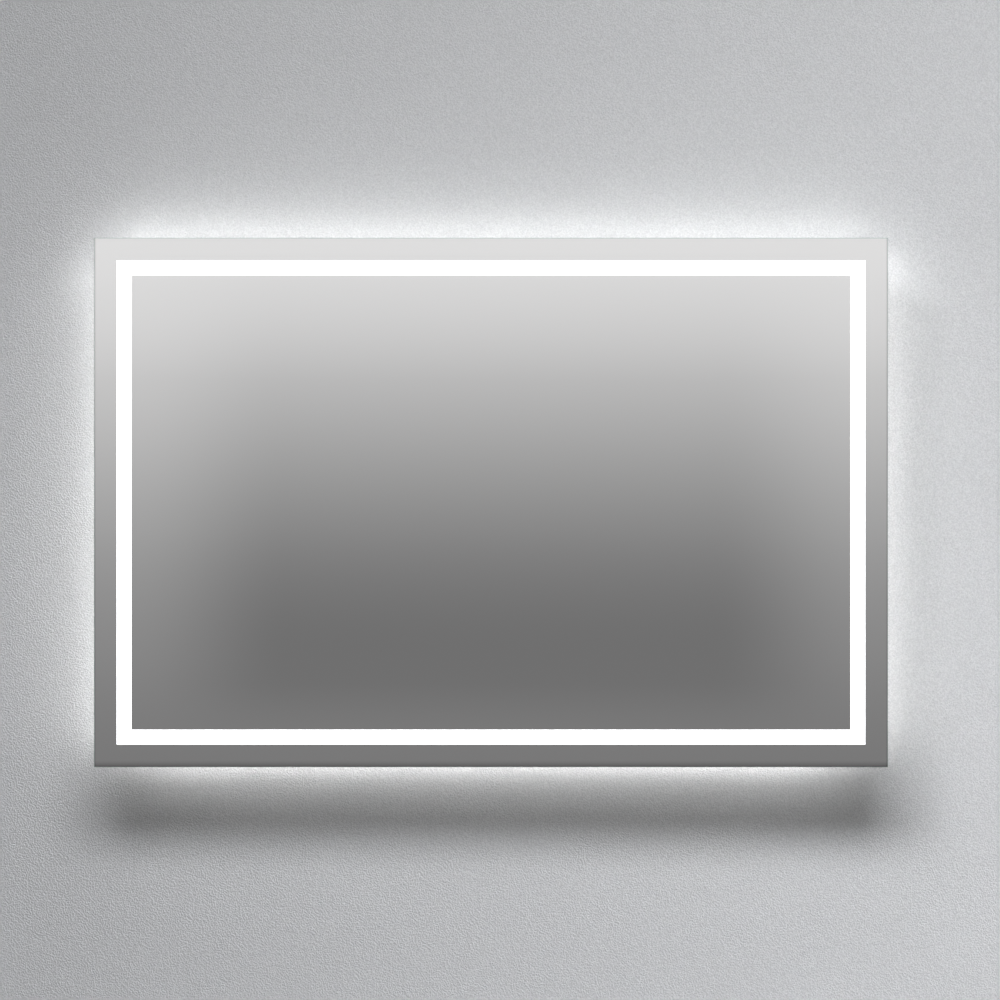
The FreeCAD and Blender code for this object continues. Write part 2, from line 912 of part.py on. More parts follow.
def back_panel():
    """Steel sheet in the frame's rebate, stiffened by pressed swages and vented round the driver."""
    body = new_body("back_panel")
    place_on_mirror(body)
    outline = front_sketch(body)
    centred_rectangle(outline, panel_half_width, panel_half_height)
    pad(body, outline, size.panel_thickness)

    wall = size.panel_thickness
    half_length, half_width = size.swage_length / 2, size.swage_width / 2
    first_up = rail_above_centre - size.swage_below_rail
    swages = [first_up - size.swage_spacing * i for i in range(2)]
    for up in swages:
        outside = front_sketch(body, wall)
        centred_rectangle(outside, half_length, half_width, up=up)
        pad(body, outside, size.swage_depth, taper=-45)
    for up in swages:
        inside = front_sketch(body)
        centred_rectangle(inside, half_length - wall / 2, half_width - wall / 2, up=up)
        pocket(body, inside, size.swage_depth, taper=-45)

    holes = front_sketch(body)
    for across, up in panel_screw_places() + driver_screw_places() + cover_screw_places():
        circle(holes, across, up, screw_clear_hole)
    centred_rectangle(holes, size.box_length / 2, size.box_width / 2, size.box_across, driver_up)
    pocket_through(body, holes)

    vent = front_sketch(body)
    first_across = size.driver_across - size.driver_length / 2 + size.vent_width
    reach = size.driver_width / 2 + size.vent_gap + size.vent_length / 2
    for rise in (1, -1):
        centred_rectangle(
            vent,
            size.vent_width / 2,
            size.vent_length / 2,
            first_across,
            driver_up + reach * rise,
        )
    cut = pocket_through(body, vent)
    run = size.driver_length - size.vent_width * 2
    copies = int(run.number // size.vent_pitch.number) + 1
    repeat(body, cut, vent, "H_Axis", size.vent_pitch * (copies - 1), copies)
    return node(body)


# --- wall rail and hanging cleat ---------------------------------------------------------------------------


def wall_rail():
    """The rail on the wall: a flange with slots for its screws, a shoulder and an upright tongue."""
    body = new_body("wall_rail")
    place(body)
    metal = size.rail_metal
    section = section_sketch(body)
    polygon(
        section,
        [
            (NOTHING, -size.rail_foot),
            (-metal, -size.rail_foot),
            (-metal, size.rail_shoulder - metal),
            (-(rail_gap + metal), size.rail_shoulder - metal),
            (-(rail_gap + metal), size.hook_top - size.tip_chamfer),
            (-(rail_gap + metal - size.tip_chamfer), size.hook_top),
            (-(rail_gap + size.tip_chamfer), size.hook_top),
            (-rail_gap, size.hook_top - size.tip_chamfer),
            (-rail_gap, size.rail_shoulder),
            (NOTHING, size.rail_shoulder),
        ],
    )
    pad(body, section, size.rail_length, both_ways=True)
    fixings = front_sketch(body)
    for hand in (1, -1):
        slot(
            fixings,
            size.wall_slot_spacing * (hand / 2),
            NOTHING,
            size.wall_slot_length,
            size.wall_hole_radius,
        )
        circle(fixings, size.wall_hole_spacing * (hand / 2), NOTHING, size.wall_hole_radius)
    pocket(body, fixings, metal)
    return node(body)


def hanging_cleat():
    """The hook on the rear panel: a welded flange, a shelf that rests on the rail, and a tongue."""
    body = new_body("hanging_cleat")
    place(body)
    metal = size.rail_metal
    tongue_front = -(size.hook_play + metal)
    tongue_end = size.hook_top - size.hook_depth
    flange_rear = -(size.wall_gap - metal)
    section = section_sketch(body)
    polygon(
        section,
        [
            (-size.wall_gap, size.hook_top),
            (tongue_front, size.hook_top),
            (tongue_front, tongue_end + size.tip_chamfer),
            (tongue_front + size.tip_chamfer, tongue_end),
            (-(size.hook_play + size.tip_chamfer), tongue_end),
            (-size.hook_play, tongue_end + size.tip_chamfer),
            (-size.hook_play, size.hook_top + metal),
            (flange_rear, size.hook_top + metal),
            (flange_rear, size.hook_top + metal + size.cleat_flange),
            (-size.wall_gap, size.hook_top + metal + size.cleat_flange),
        ],
    )
    pad(body, section, size.cleat_length, both_ways=True)
    return node(body)


def spacer(hand, label):
    """A rubber spacer stuck to the rear panel, which keeps the mirror upright against the wall."""
    body = new_body(label)
    place(
        body,
        across=(panel_half_width - size.spacer_inset) * hand,
        forward=size.wall_gap,
        up=-rail_above_centre - panel_half_height + size.spacer_inset,
    )
    section = section_sketch(body)
    polygon(
        section,
        [
            (NOTHING, NOTHING),
            (NOTHING, size.spacer_radius),
            (size.wall_gap, size.spacer_radius),
            (size.wall_gap, NOTHING),
        ],
    )
    revolve(body, section)
    return node(body)


# --- fasteners ---------------------------------------------------------------------------------------------


def hexagonal_bar(radius, length):
    """A six-sided bar that stands on the XY plane."""
    corners = [
        FreeCAD.Vector(radius * math.cos(math.radians(60 * i)), radius * math.sin(math.radians(60 * i)), 0)
        for i in range(6)
    ]
    return Part.Face(Part.makePolygon(corners + corners[:1])).extrude(UP * length)


def tapping_screw(length):
    """A hexagon-head screw, seated on the XY plane with its head towards +Z. Its thread is left off."""
    head = hexagonal_bar(size.screw_head_radius.number, size.screw_head_height.number)
    shank = hexagonal_bar(size.screw_radius.number, length)
    shank.translate(UP * -length)
    return head.fuse(shank)


def fasteners(label, pattern, spots):
    """Copies of one fastener, each with its seat at a spot and its head towards the wall."""
    copies = []
    for spot in spots:
        copy = pattern.copy()
        copy.Placement = FreeCAD.Placement(spot, FreeCAD.Rotation(UP, BACKWARD))
        copies.append(copy)
    return node(coded_piece(label, Part.makeCompound(copies), mirror_placement()))


# --- driver ------------------------------------------------------------------------------------------------


def driver_case():
    """The driver's moulded tray: walls, a floor against the panel, screw ears and lead ports."""
    body = new_body("driver_case")
    place_on_mirror(body)
    half_length, half_width = size.driver_length / 2, size.driver_width / 2
    wall = size.driver_wall
    low = size.panel_thickness
    rim = size.driver_height - size.driver_lid_thickness
    ears = front_sketch(body, low)
    centred_rectangle(
        ears, half_length + size.driver_ear, half_width - wall * 2, size.driver_across, driver_up
    )
    pad(body, ears, wall * 2)
    block = front_sketch(body, low)
    centred_rectangle(block, half_length, half_width, size.driver_across, driver_up)
    pad(body, block, rim)
    inside = front_sketch(body, low + wall)
    centred_rectangle(inside, half_length - wall, half_width - wall, size.driver_across, driver_up)
    pocket(body, inside, rim - wall)
    holes = front_sketch(body, low)
    for across, up in driver_screw_places():
        circle(holes, across, up, screw_hole)
    pocket(body, holes, wall * 2)
    inputs = sketch(body, "YZ_Plane", size.driver_across - half_length)
    centred_rectangle(inputs, mains_half, mains_half, -size.lead_height, driver_up)
    pocket(body, inputs, wall)
    outputs = sketch(body, "YZ_Plane", size.driver_across + half_length - wall)
    for up in (front_port_up, halo_port_up):
        centred_rectangle(outputs, flat_half_width, flat_half_thickness, -size.lead_height, up)
    pocket(body, outputs, wall)
    return node(body)


def driver_lid():
    """The driver's lid: a plate with cooling ribs, and a rim that drops inside the tray."""
    body = new_body("driver_lid")
    place_on_mirror(body)
    half_length, half_width = size.driver_length / 2, size.driver_width / 2
    top = size.panel_thickness + size.driver_height
    low = top - size.driver_lid_thickness
    gap = size.driver_wall + size.slide_fit
    rim = front_sketch(body, low - size.driver_lid_rim)
    centred_rectangle(rim, half_length - gap, half_width - gap, size.driver_across, driver_up)
    centred_rectangle(
        rim,
        half_length - gap - size.driver_wall,
        half_width - gap - size.driver_wall,
        size.driver_across,
        driver_up,
    )
    pad(body, rim, size.driver_lid_rim)
    plate = front_sketch(body, low)
    centred_rectangle(plate, half_length, half_width, size.driver_across, driver_up)
    pad(body, plate, size.driver_lid_thickness / 2)
    ribs = front_sketch(body, low + size.driver_lid_thickness / 2)
    centred_rectangle(
        ribs,
        size.driver_wall / 2,
        half_width - size.driver_wall * 2,
        size.driver_across - half_length + size.driver_wall * 4,
        driver_up,
    )
    first = pad(body, ribs, size.driver_lid_thickness / 2)
    repeat(body, first, ribs, "H_Axis", size.driver_length - size.driver_wall * 8, 12)
    return node(body)


def driver_board():
    """The driver's circuit board with its transformer, choke and capacitors."""
    body = new_body("driver_board")
    place_on_mirror(body)
    gap = size.driver_wall + size.slide_fit * 2
    half_length, half_width = size.driver_length / 2 - gap, size.driver_width / 2 - gap
    low = size.panel_thickness + size.driver_wall
    stand = size.driver_wall
    feet = front_sketch(body, low)
    for hand in (1, -1):
        centred_rectangle(
            feet, stand, half_width / 2, size.driver_across + half_length * (hand / 2), driver_up
        )
    pad(body, feet, stand)
    board = front_sketch(body, low + stand)
    centred_rectangle(board, half_length, half_width, size.driver_across, driver_up)
    pad(body, board, size.driver_wall)
    top = low + stand + size.driver_wall
    blocks = front_sketch(body, top)
    centred_rectangle(blocks, half_width / 2, half_width / 2, size.driver_across, driver_up)
    centred_rectangle(
        blocks, half_width / 4, half_width / 2, size.driver_across + half_length / 2, driver_up
    )
    circle(blocks, size.driver_across - half_length / 2, driver_up, half_width / 3)
    pad(body, blocks, size.driver_height / 3)
    return node(body)


# --- wiring box --------------------------------------------------------------------------------------------


def wiring_box():
    """A pressed steel box behind a cut-out in the rear panel, with a flange that lies on the panel."""
    body = new_body("wiring_box")
    place_on_mirror(body)
    metal = size.box_metal
    half_length, half_width = size.box_length / 2, size.box_width / 2
    flange = front_sketch(body, size.panel_thickness)
    centred_rectangle(
        flange,
        half_length + metal + size.box_flange,
        half_width + metal,
        size.box_across,
        driver_up,
    )
    pad(body, flange, metal)
    shell = front_sketch(body, size.panel_thickness)
    centred_rectangle(shell, half_length + metal, half_width + metal, size.box_across, driver_up)
    pad(body, shell, size.box_depth + metal)
    inside = front_sketch(body, size.panel_thickness)
    centred_rectangle(inside, half_length, half_width, size.box_across, driver_up)
    pocket(body, inside, size.box_depth)
    holes = front_sketch(body, size.panel_thickness)
    for across, up in cover_screw_places():
        circle(holes, across, up, screw_hole)
    pocket(body, holes, metal)
    mains_exit = sketch(body, "YZ_Plane", size.box_across + half_length)
    room = mains_half + size.bushing_wall
    centred_rectangle(mains_exit, room, room, -size.lead_height, driver_up)
    pocket(body, mains_exit, metal)
    demister_exit = sketch(body, "XY_Plane", driver_up + half_width)
    centred_rectangle(
        demister_exit,
        flat_half_width + size.bushing_wall,
        flat_half_thickness + size.bushing_wall,
        size.box_across,
        -size.lead_height,
    )
    pocket(body, demister_exit, metal)
    return node(body)


def wiring_cover():
    """The cover over the wiring box, on the rear of the panel, with the hole for the inlet."""
    body = new_body("wiring_cover")
    place_on_mirror(body)
    plate = front_sketch(body, -size.box_metal)
    centred_rectangle(
        plate,
        size.box_length / 2 + size.box_metal + size.box_flange,
        size.box_width / 2 + size.box_flange,
        size.box_across,
        driver_up,
    )
    pad(body, plate, size.box_metal)
    holes = front_sketch(body, -size.box_metal)
    for across, up in cover_screw_places():
        circle(holes, across, up, screw_clear_hole)
    circle(holes, size.box_across + size.inlet_offset, driver_up, size.grommet_neck_radius)
    pocket(body, holes, size.box_metal)
    return node(body)


def inlet_grommet():
    """A rubber grommet in the cover, which the house cable comes in through."""
    body = new_body("inlet_grommet")
    place(
        body,
        across=size.box_across + size.inlet_offset,
        forward=size.wall_gap,
        up=driver_up - rail_above_centre,
    )
    lip, metal = size.grommet_lip, size.box_metal
    neck = size.grommet_neck_radius - size.screw_fit
    section = section_sketch(body)
    polygon(
        section,
        [
            (-lip, size.inlet_radius),
            (-lip, neck),
            (metal, neck),
            (metal, size.grommet_flange_radius),
            (metal + lip, size.grommet_flange_radius),
            (metal + lip, size.inlet_radius),
        ],
    )
    revolve(body, section)
    return node(body)


def terminal_block():
    """A moulded block on the box floor, with a pole for each core and its screws facing the cover."""
    body = new_body("terminal_block")
    place_on_mirror(body)
    across = size.box_across + size.terminal_offset
    low = box_floor - size.terminal_depth
    pole = size.terminal_pole
    block = front_sketch(body, low)
    centred_rectangle(
        block, size.terminal_length / 2, pole * (POLES / 2), across, driver_up
    )
    pad(body, block, size.terminal_depth)
    wells = front_sketch(body, low)
    for i in range(POLES):
        up = driver_up + pole * (i - (POLES - 1) / 2)
        circle(wells, across, up, size.terminal_screw_radius + size.slide_fit)
    pocket(body, wells, size.terminal_depth / 3)
    entries = sketch(body, "YZ_Plane", across - size.terminal_length / 2)
    for i in range(POLES):
        up = driver_up + pole * (i - (POLES - 1) / 2)
        centred_rectangle(
            entries, size.terminal_entry / 2, size.terminal_entry / 2, -size.lead_height, up
        )
    pocket(body, entries, size.terminal_length / 3)
    notches = front_sketch(body, low)
    for i in range(1, POLES):
        up = driver_up + pole * (i - POLES / 2)
        centred_rectangle(
            notches, size.terminal_length / 2, size.slide_fit * 2, across, up
        )
    pocket(body, notches, size.terminal_depth / 4)
    return node(body)


def terminal_screws():
    """A round screw down in each well of the terminal block."""
    depth = size.terminal_depth / 3
    grub = Part.makeCylinder(size.terminal_screw_radius.number, (depth * 0.8).number)
    across = size.box_across + size.terminal_offset
    low = box_floor - size.terminal_depth + depth
    places = [driver_up + size.terminal_pole * (i - (POLES - 1) / 2) for i in range(POLES)]
    return fasteners("terminal_screws", grub, [at(across, low, up) for up in places])


# --- leads -------------------------------------------------------------------------------------------------


def lead_path(points, bend):
    """Straight runs through the points, joined by tangent arcs of one radius."""
    edges = []
    start = points[0]
    for before, corner, after in zip(points, points[1:], points[2:]):
        way_in = (corner - before).normalize()
        way_out = (after - corner).normalize()
        turn = way_in.getAngle(way_out)
        first = corner - way_in * (bend * math.tan(turn / 2))
        last = corner + way_out * (bend * math.tan(turn / 2))
        towards = (way_out - way_in).normalize()
        centre = corner + towards * (bend / math.cos(turn / 2))
        edges.append(Part.makeLine(start, first))
        edges.append(Part.Arc(first, centre - towards * bend, last).toShape())
        start = last
    edges.append(Part.makeLine(start, points[-1]))
    return Part.Wire(edges)


def flat_lead(label, points, bend, broad_way):
    """A flat two-core lead whose broad side faces along one axis, right angles to all its bends."""
    along = (points[1] - points[0]).normalize()
    edgeways = along.cross(broad_way)
    half_width = broad_way * (size.flat_lead_width.number / 2)
    half_thickness = edgeways * (size.flat_lead_thickness.number / 2)
    corners = [
        points[0] + half_width + half_thickness,
        points[0] - half_width + half_thickness,
        points[0] - half_width - half_thickness,
        points[0] + half_width - half_thickness,
    ]
    path = lead_path(points, bend)
    section = Part.makePolygon(corners + corners[:1])
    shape = path.makePipeShell([section], True, False)
    expected = size.flat_lead_width.number * size.flat_lead_thickness.number * path.Length
    if abs(shape.Volume - expected) > expected * 0.01:
        raise ValueError(f"{label} lost its section on the way")
    return node(coded_piece(label, shape, mirror_placement()))


def mains_lead():
    """The square-jacketed lead from the terminal block to the driver, straight across the panel."""
    body = new_body("mains_lead")
    place_on_mirror(body)
    start = size.box_across + size.terminal_offset + size.terminal_length / 2
    end = size.driver_across - size.driver_length / 2 + size.driver_wall
    section = sketch(body, "YZ_Plane", start)
    half = size.mains_lead_width / 2
    centred_rectangle(section, half, half, -size.lead_height, driver_up)
    pad(body, section, end - start)
    return node(body)


def low_voltage_leads():
    """The driver's leads to the two circuits of diodes, and the demister's from the wiring box."""
    flat = size.lead_height
    driver_end = size.driver_across + size.driver_length / 2 - size.driver_wall
    glass_edge = -size.glass_height / 2
    flat_lead(
        "front_strip_lead",
        [
            at(driver_end, flat, front_port_up),
            at(front_feed, flat, front_port_up),
            at(front_feed, flat, glass_edge + plug_inner + size.plug_length),
        ],
        size.front_lead_bend.number,
        BACKWARD,
    )
    flat_lead(
        "halo_strip_lead",
        [
            at(driver_end, flat, halo_port_up),
            at(halo_feed, flat, halo_port_up),
            at(halo_feed, flat, glass_edge + outer_web),
        ],
        size.halo_lead_bend.number,
        BACKWARD,
    )
    tab_middle = demister_tab_low + size.demister_tab_thickness / 2
    tab_end = demister_tab_up - size.demister_tab_length / 2
    box_top = driver_up + size.box_width / 2
    rise = tab_end - box_top
    flat_lead(
        "demister_lead",
        [
            at(size.box_across, flat, box_top),
            at(size.box_across, flat, box_top + rise * 0.25),
            at(size.box_across, tab_middle, box_top + rise * 0.75),
            at(size.box_across, tab_middle, tab_end),
        ],
        size.demister_lead_bend.number,
        FreeCAD.Vector(1, 0, 0),
    )


def strip_plug():
    """The plug that the front strip's lead ends in, standing on the chamber floor beside the board."""
    body = new_body("strip_plug")
    place_on_side(body, "bottom")
    block = front_sketch(body, size.frame_wall)
    rectangle(
        block,
        -front_feed - size.plug_width / 2,
        -(plug_inner + size.plug_length),
        -front_feed + size.plug_width / 2,
        -plug_inner,
    )
    pad(body, block, size.lead_height + size.flat_lead_width - size.frame_wall)
    return node(body)


def sleeve(half_across, half_up, thickness):
    """A moulded bushing that lines an oblong hole in a sheet, along +Z, with a lip each side."""
    wall, lip = size.bushing_wall.number, size.bushing_lip.number
    clearance = size.screw_fit.number

    def block(margin, low, high):
        x, y = half_across.number + margin, half_up.number + margin
        return Part.makeBox(x * 2, y * 2, high - low, FreeCAD.Vector(-x, -y, low))

    half = thickness.number / 2
    lips = [block(wall + lip, half, half + lip), block(wall + lip, -half - lip, -half)]
    return block(wall - clearance, -half, half).fuse(lips).cut(block(0, -half - lip, half + lip))


def lead_bushings():
    """The bushings where leads pass through the frame's inner web and out of the wiring box."""
    web_middle = -size.glass_height / 2 + chamber_inner + size.frame_wall / 2
    box_right = size.box_across + size.box_length / 2 + size.box_metal / 2
    box_top = driver_up + size.box_width / 2 + size.box_metal / 2
    flat = size.lead_height
    web_sleeve = sleeve(flat_half_thickness, flat_half_width, size.frame_wall)
    box_sleeve = sleeve(flat_half_width, flat_half_thickness, size.box_metal)
    mains_sleeve = sleeve(mains_half, mains_half, size.box_metal)
    sideways = FreeCAD.Rotation(FreeCAD.Vector(0, 1, 0), 90)
    solids = []
    for shape, spot, turn in (
        (web_sleeve.copy(), at(front_feed, flat, web_middle), FreeCAD.Rotation()),
        (web_sleeve.copy(), at(halo_feed, flat, web_middle), FreeCAD.Rotation()),
        (mains_sleeve, at(box_right, flat, driver_up), sideways),
        (box_sleeve, at(size.box_across, flat, box_top), FreeCAD.Rotation()),
    ):
        shape.Placement = FreeCAD.Placement(spot, turn)
        solids.append(shape)
    return node(coded_piece("lead_bushings", Part.makeCompound(solids), mirror_placement()))


def cable_clip(half_across, half_up):
    """A moulded saddle on the panel round a lead that runs along +Z, with its bore at the origin."""
    wall, half = size.clip_wall.number, size.clip_length.number / 2
    x, y = half_across.number + wall, half_up.number + wall
    foot = size.lead_height.number - size.panel_thickness.number
    outside = Part.makeBox(x * 2, y + foot, half * 2, FreeCAD.Vector(-x, -y, -half))
    bore = Part.makeBox(
        half_across.number * 2,
        half_up.number * 2,
        half * 2,
        FreeCAD.Vector(-half_across.number, -half_up.number, -half),
    )
    hollow = Part.makeBox(
        half_across.number * 2,
        foot - half_up.number - wall * 2,
        half * 2,
        FreeCAD.Vector(-half_across.number, half_up.number + wall, -half),
    )
    return outside.cut([bore, hollow])


def cable_clips():
    """Saddles stuck to the inside of the panel, each round one lead."""
    flat = size.lead_height
    middle = (size.box_across + size.driver_across) / 2
    drop = driver_up - size.driver_width / 2
    sideways = FreeCAD.Rotation(FreeCAD.Vector(0, 1, 0), 90)
    flat_clip = cable_clip(flat_half_thickness, flat_half_width)
    solids = []
    for shape, spot, turn in (
        (cable_clip(mains_half, mains_half), at(middle, flat, driver_up), sideways),
        (flat_clip.copy(), at(front_feed, flat, drop), FreeCAD.Rotation()),
        (flat_clip.copy(), at(halo_feed, flat, drop), FreeCAD.Rotation()),
    ):
        shape.Placement = FreeCAD.Placement(spot, turn)
        solids.append(shape)
    return node(coded_piece("cable_clips", Part.makeCompound(solids), mirror_placement()))


# --- building the mirror -----------------------------------------------------------------------------------


def check_document():
    """Stops if an object failed, a shape is bad, or a cut removed nothing."""
    for thing in doc.Objects:
        if "Invalid" in thing.State or "Error" in thing.State:
            raise RuntimeError(f"{thing.Label} failed: {thing.State}")
        if thing.TypeId == "PartDesign::Pocket":
            before = thing.BaseFeature.Shape.Volume
            if thing.Shape.Volume > before - 1e-6:
                raise RuntimeError(f"{thing.Label} cut nothing")
    for piece in nodes:
        if piece.Shape.isNull() or not piece.Shape.isValid():
            raise RuntimeError(f"{piece.Label} has no valid shape")


def write_parts():
    os.makedirs("parts", exist_ok=True)
    for piece in nodes:
        piece.Shape.exportStep(f"parts/{piece.Label}.step")


wall_rail()
hanging_cleat()
mirror_glass()
for name in SIDES:
    frame_bar(name)
    front_diffuser(name)
    halo_diffuser(name)
    front_strip(name)
    halo_strip(name)
for name in CORNERS:
    corner_key(name)
front_strip_links()
halo_strip_links()
glass_tape("glass_tape_outer", lip_end + size.tape_setback)
glass_tape("glass_tape_inner", key_wall - size.tape_setback - size.tape_width)
demister_pad()
back_panel()
fasteners(
    "back_panel_screws",
    tapping_screw(size.screw_length.number),
    [at(across, 0, up) for across, up in panel_screw_places()],
)
spacer(-1, "spacer_left")
spacer(1, "spacer_right")
driver_case()
driver_lid()
driver_board()
fasteners(
    "driver_screws",
    tapping_screw((size.driver_wall * 2 + size.panel_thickness).number),
    [at(across, 0, up) for across, up in driver_screw_places()],
)
wiring_box()
wiring_cover()
fasteners(
    "wiring_cover_screws",
    tapping_screw(size.screw_length.number),
    [at(across, -size.box_metal, up) for across, up in cover_screw_places()],
)
inlet_grommet()
terminal_block()
terminal_screws()
mains_lead()
low_voltage_leads()
strip_plug()
lead_bushings()
cable_clips()

doc.recompute()
check_document()
write_parts()
print(len(nodes), "nodes written")
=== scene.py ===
"""A lighted bathroom mirror on its wall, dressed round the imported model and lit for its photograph."""

import math

import bmesh
import bpy
from mathutils import Matrix, Vector


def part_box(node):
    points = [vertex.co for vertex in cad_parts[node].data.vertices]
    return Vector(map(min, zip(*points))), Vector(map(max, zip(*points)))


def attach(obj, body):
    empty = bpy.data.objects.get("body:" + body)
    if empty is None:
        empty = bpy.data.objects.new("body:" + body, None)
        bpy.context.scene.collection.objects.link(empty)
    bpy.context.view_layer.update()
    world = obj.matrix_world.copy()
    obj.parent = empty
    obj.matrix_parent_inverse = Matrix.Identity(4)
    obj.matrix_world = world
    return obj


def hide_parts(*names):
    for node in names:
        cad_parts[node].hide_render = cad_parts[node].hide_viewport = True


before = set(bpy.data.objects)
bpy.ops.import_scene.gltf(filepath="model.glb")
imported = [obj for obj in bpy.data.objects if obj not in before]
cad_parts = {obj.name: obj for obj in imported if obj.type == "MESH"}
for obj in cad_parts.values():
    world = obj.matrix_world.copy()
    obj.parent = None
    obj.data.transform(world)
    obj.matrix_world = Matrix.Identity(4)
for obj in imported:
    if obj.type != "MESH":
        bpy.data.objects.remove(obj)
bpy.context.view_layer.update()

# --- mirror pane -------------------------------------------------------------------------------------------
# A 5 mm sheet of float glass, silvered and painted on its back, with its edges ground and eased. A band
# 17 mm wide, 26 mm in from the edge, has its silver blasted away, and the light comes out through it.


class Flow:
    """A socket in a shader's tree. Arithmetic on it adds Math nodes, and add() brings any other node."""

    def __init__(self, tree, socket=None):
        self.tree = tree
        self.socket = socket

    def add(self, kind, settings=None, sockets=None, out=0):
        """A new node, with its settings made before its sockets, as the flow from one of its outputs."""
        node = self.tree.nodes.new(kind)
        for name, value in (settings or {}).items():
            if name == "stops":
                node.color_ramp.interpolation = "B_SPLINE"
                while len(node.color_ramp.elements) < len(value):
                    node.color_ramp.elements.new(1)
                for stop, (place, shade) in zip(node.color_ramp.elements, value):
                    stop.position = place
                    stop.color = (shade, shade, shade, 1)
            else:
                setattr(node, name, value)
        for name, value in (sockets or {}).items():
            if isinstance(value, Flow):
                self.tree.links.new(value.socket, node.inputs[name])
            else:
                node.inputs[name].default_value = value
        return Flow(self.tree, node.outputs[out] if node.outputs else None)

    def maths(self, operation, *others):
        """This flow, and any others after it, through one Math node."""
        return self.add("ShaderNodeMath", {"operation": operation}, dict(enumerate((self, *others))))

    def __add__(self, other):
        return self.maths("ADD", other)

    def __sub__(self, other):
        return self.maths("SUBTRACT", other)

    def __rsub__(self, other):
        return self.add("ShaderNodeMath", {"operation": "SUBTRACT"}, {0: other, 1: self})

    def __mul__(self, other):
        return self.maths("MULTIPLY", other)

    def __truediv__(self, other):
        return self.maths("DIVIDE", other)

    def __abs__(self):
        return self.maths("ABSOLUTE")

    __radd__ = __add__
    __rmul__ = __mul__

    def rise(self, low, high):
        """0 below low and 1 above high, with a soft step between."""
        return self.add(
            "ShaderNodeMapRange",
            {"interpolation_type": "SMOOTHSTEP"},
            {"Value": self, "From Min": low, "From Max": high},
        )

    def between(self, first, second):
        """A colour that goes from the first to the second as this flow goes from 0 to 1."""
        return self.add("ShaderNodeMix", {"data_type": "RGBA"}, {0: self, 6: first, 7: second}, out=2)

    def tinted(self, other):
        """This colour with another laid over it like a glaze."""
        glaze = {"data_type": "RGBA", "blend_type": "MULTIPLY"}
        return self.add("ShaderNodeMix", glaze, {0: 1.0, 6: self, 7: other}, out=2)

    def ramp(self, stops):
        """A smooth curve through greys, from pairs of place and level."""
        return self.add("ShaderNodeValToRGB", {"stops": stops}, {"Fac": self})

    def axes(self):
        """The three parts of a vector."""
        split = self.add("ShaderNodeSeparateXYZ", {}, {"Vector": self}).socket.node
        return [Flow(self.tree, out) for out in split.outputs]

    def stretched(self, scale):
        return self.add("ShaderNodeMapping", {}, {"Vector": self, "Scale": scale})

    def noise(self, scale, detail=2.0, roughness=0.5):
        return self.add(
            "ShaderNodeTexNoise",
            {},
            {"Vector": self, "Scale": scale, "Detail": detail, "Roughness": roughness},
        )

    def bump(self, distance, strength=1.0):
        """A normal from this flow as height, with the distance in metres."""
        return self.add(
            "ShaderNodeBump", {}, {"Strength": strength, "Distance": distance, "Height": self}
        )


def new_finish(name):
    """An empty material, and the flow of object coordinates that its pattern starts from."""
    material = bpy.data.materials.new(name)
    material.use_nodes = True
    material.node_tree.nodes.clear()
    return material, Flow(material.node_tree).add("ShaderNodeTexCoord", out="Object")


def close_finish(flow, sockets):
    """Ends a material with its shader."""
    shader = flow.add("ShaderNodeBsdfPrincipled", {}, sockets)
    flow.add("ShaderNodeOutputMaterial", {}, {"Surface": shader})


def block(low, high):
    """A box between two corners."""
    bm = bmesh.new()
    bmesh.ops.create_cube(bm, size=1)
    bmesh.ops.scale(bm, vec=Vector(high) - Vector(low), verts=bm.verts)
    bmesh.ops.translate(bm, vec=(Vector(low) + Vector(high)) / 2, verts=bm.verts)
    return bm


def finished_piece(name, bm, materials, smooth_angle=30):
    """The object made from a bmesh, shaded smooth where its faces turn by less than the angle."""
    mesh = bpy.data.meshes.new(name)
    bm.to_mesh(mesh)
    bm.free()
    for material in materials:
        mesh.materials.append(material)
    mesh.shade_smooth()
    mesh.set_sharp_from_angle(angle=math.radians(smooth_angle))
    made = bpy.data.objects.new(name, mesh)
    bpy.context.scene.collection.objects.link(made)
    return made


BAND_INSET = 0.0260
BAND_WIDTH = 0.0173
ARRIS = 0.0005
ETCH_DEPTH = 0.0002
SILVERED, ETCHED, GROUND, PAINTED = range(4)

glass_low, glass_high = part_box("mirror_glass")
pane_bm = block(glass_low, glass_high)
round_the_faces = [e for e in pane_bm.edges if abs(e.verts[0].co.y - e.verts[1].co.y) < 1e-6]
bmesh.ops.bevel(
    pane_bm,
    geom=round_the_faces,
    offset=ARRIS,
    affect="EDGES",
    segments=2,
    profile=0.5,
    material=-1,
)
for face in pane_bm.faces:
    face.material_index = GROUND
for facing, coat in ((-1, SILVERED), (1, PAINTED)):
    field = max(pane_bm.faces, key=lambda f: f.normal.y * facing * f.calc_area())
    border = bmesh.ops.inset_region(
        pane_bm, faces=[field], thickness=BAND_INSET - ARRIS, use_even_offset=True
    )["faces"]
    band = bmesh.ops.inset_region(
        pane_bm, faces=[field], thickness=BAND_WIDTH, use_even_offset=True
    )["faces"]
    for face in [*border, field]:
        face.material_index = coat
    for face in band:
        face.material_index = ETCHED
    if facing == 1:
        etched = bmesh.ops.extrude_face_region(pane_bm, geom=band)["geom"]
        bmesh.ops.delete(pane_bm, geom=band, context="FACES")
        bmesh.ops.translate(
            pane_bm,
            vec=(0, -ETCH_DEPTH, 0),
            verts=[v for v in etched if isinstance(v, bmesh.types.BMVert)],
        )
bmesh.ops.recalc_face_normals(pane_bm, faces=pane_bm.faces)

